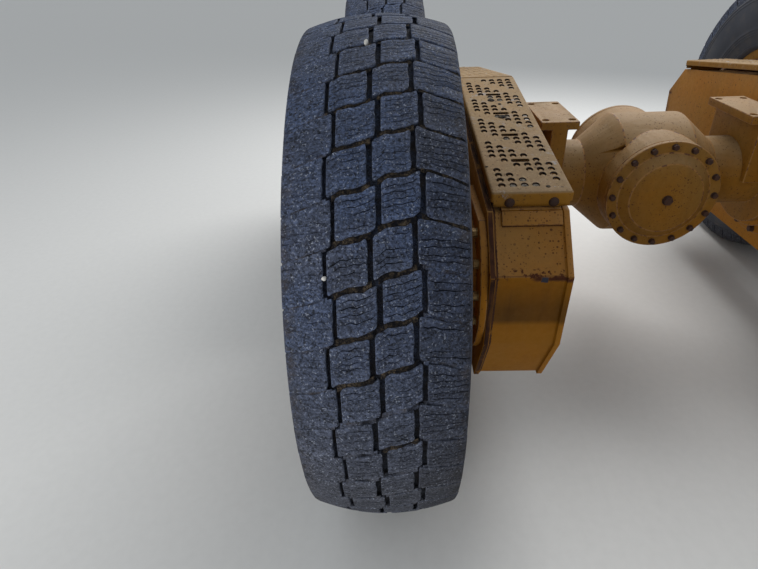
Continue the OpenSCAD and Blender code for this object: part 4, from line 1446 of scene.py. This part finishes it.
# Faces of the hub's flange and of its cap, outboard of the wheel plane, and their bolts' circles
HUB_FACE = 0.058
CAP_FACE = 0.084
HUB_BOLTS_R = 0.126
CAP_BOLTS_R = 0.070
# The bead that joins the rim's disc to its barrel
BEAD_R = 0.2805
BEAD_Y = 0.0690
BEAD_SIZE = 0.008
BEAD_PIECES = 90


def hub_bolts(name, sign):
    """Bolts of the hub's flange and of its cap, with one in the middle."""
    shape = Shape()
    bolt_circle(shape, (0, HUB_FACE, 0), (0, 1, 0), HUB_BOLTS_R, 8, 0.016, 0.009, first=22.5)
    bolt_circle(shape, (0, CAP_FACE, 0), (0, 1, 0), CAP_BOLTS_R, 3, 0.019, 0.010, first=30)
    hex_bolt(shape, facing((0, CAP_FACE, 0), (0, 1, 0)), 0.032, 0.014)
    shape.place(matrix_at(wheel_centre(name), sign))
    shape.piece(name + "_hub_bolts", name + "_wheel", [RUSTY], "bare_steel", 30)


def rim_weld(name, sign, seed):
    """The bead round the rim's disc."""
    rng = random.Random(seed)
    bead = Shape()
    circle = [(BEAD_R * sin(a), BEAD_R * cos(a)) for a in np.linspace(0, 2 * pi, BEAD_PIECES + 1)]
    for a, b in zip(circle[:-1], circle[1:]):
        inward = -np.array([(a[0] + b[0]) / 2, 0, (a[1] + b[1]) / 2]) / BEAD_R
        weld(bead, [(a[0], BEAD_Y, a[1]), (b[0], BEAD_Y, b[1])], [(0, 1, 0), inward], BEAD_SIZE, rng)
    bead.place(matrix_at(wheel_centre(name), sign))
    bead.piece(name + "_rim_weld", name + "_wheel", [WELD], "wheel_paint", 50)


# Centre housing

# How thick the bolted flanges of the rear cover and the pinion housing are, and their bolts' circles
COVER_FLANGE = 0.020
REAR_BOLTS_R = 0.186
PINION_BOLTS_R = 0.182
DRAIN_Z = AXLE_Z - 0.235


def housing_bolts():
    """Bolts of the rear cover and of the pinion housing, and the drain plug."""
    shape = Shape()
    cover_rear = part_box("rear_cover")[0][0]
    cover_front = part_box("rear_cover")[1][0]
    pinion_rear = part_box("pinion_housing")[0][0]
    bolt_circle(shape, (cover_front - COVER_FLANGE, 0, AXLE_Z), (-1, 0, 0), REAR_BOLTS_R, 16, 0.019, 0.012)
    hex_bolt(shape, facing((cover_rear, 0, AXLE_Z), (-1, 0, 0)), 0.030, 0.012)
    bolt_circle(shape, (pinion_rear + COVER_FLANGE, 0, AXLE_Z), (1, 0, 0), PINION_BOLTS_R, 16, 0.022, 0.013)
    hex_bolt(shape, facing((0, 0, DRAIN_Z), (0, 0, -1)), 0.034, 0.014)
    shape.piece("housing_bolts", "axle", [RUSTY], "bare_steel", 30)


# All pieces, one after the other

for number, (name, sign, way) in enumerate(WHEELS):
    stones = PEBBLES if name == "left_rear" else []
    tyre(name, sign, TURNS[number], 11 + number, stones, radians(SOILED_AT[number]))
for node in ("axle_housing", "rear_cover", "pinion_housing", "left_saddle", "right_saddle"):
    dressed(node, [HOUSING, EDGE], 0.003)
dressed("drive_flange", [BARE, RUST_EDGE], 0.0015)
housing_bolts()
for side, sign in SIDES:
    dressed(side + "_case", [CASE, CASE, RUST_EDGE], 0.0018, outer_edge)
    case_welds(side, sign)
    case_fittings(side, sign)
    flange_bolts(side, sign)
    dressed(side + "_pivot_housing", [CASE, EDGE], 0.003)
    dressed(side + "_pivot_cover", [CASE, EDGE], 0.002)
    dressed(side + "_brackets", [CASE, EDGE], 0.0015)
for number, (name, sign, way) in enumerate(WHEELS):
    panel(name, sign, way)
    clogs(name, sign, way, 51 + number)
    lip_bolts(name, sign, way)
    dressed(name + "_rim", [WHEEL, EDGE], 0.0022)
    dressed(name + "_lock_ring", [WHEEL, EDGE], 0.0025)
    dressed(name + "_hub", [HUB, EDGE], 0.0018)
    dressed(name + "_spindle", [HUB, EDGE], 0.0025)
    hub_bolts(name, sign)
    rim_weld(name, sign, 61 + number)


# Floor and light

FLOOR_HALF = 45


def make_floor():
    mesh = bpy.data.meshes.new("floor")
    corners = [(-1, -1), (1, -1), (1, 1), (-1, 1)]
    mesh.from_pydata([(x * FLOOR_HALF, y * FLOOR_HALF, 0) for x, y in corners], [], [(0, 1, 2, 3)])
    floor = stand("floor", mesh)
    box = Paintbox("floor", 0.9, specular=0.2)
    mesh.materials.append(box.finish(box.blend(box.noise(30), (206, 205, 202), (214, 213, 210))))


def make_light():
    world = bpy.data.worlds.new("studio")
    bpy.context.scene.world = world
    world.use_nodes = True
    world.node_tree.nodes["Background"].inputs["Color"].default_value = (0.90, 0.95, 1.0, 1.0)
    world.node_tree.nodes["Background"].inputs["Strength"].default_value = 0.60
    for name, place, aim, size, power in [
        ("key", (2.6, -0.9, 3.6), (0, 0.6, 0.8), 2.6, 170),
        ("fill", (-4.4, 4.6, 1.0), (-0.8, 1.0, 0.5), 3.0, 145),
    ]:
        data = bpy.data.lights.new(name, "AREA")
        data.size = size
        data.energy = power
        lamp = stand(name, data)
        lamp.location = place
        lamp.rotation_euler = (Vector(aim) - Vector(place)).to_track_quat("-Z", "Y").to_euler()


make_camera()
make_floor()
make_light()
bpy.context.scene.view_settings.view_transform = "Standard"

bpy.context.view_layer.update()
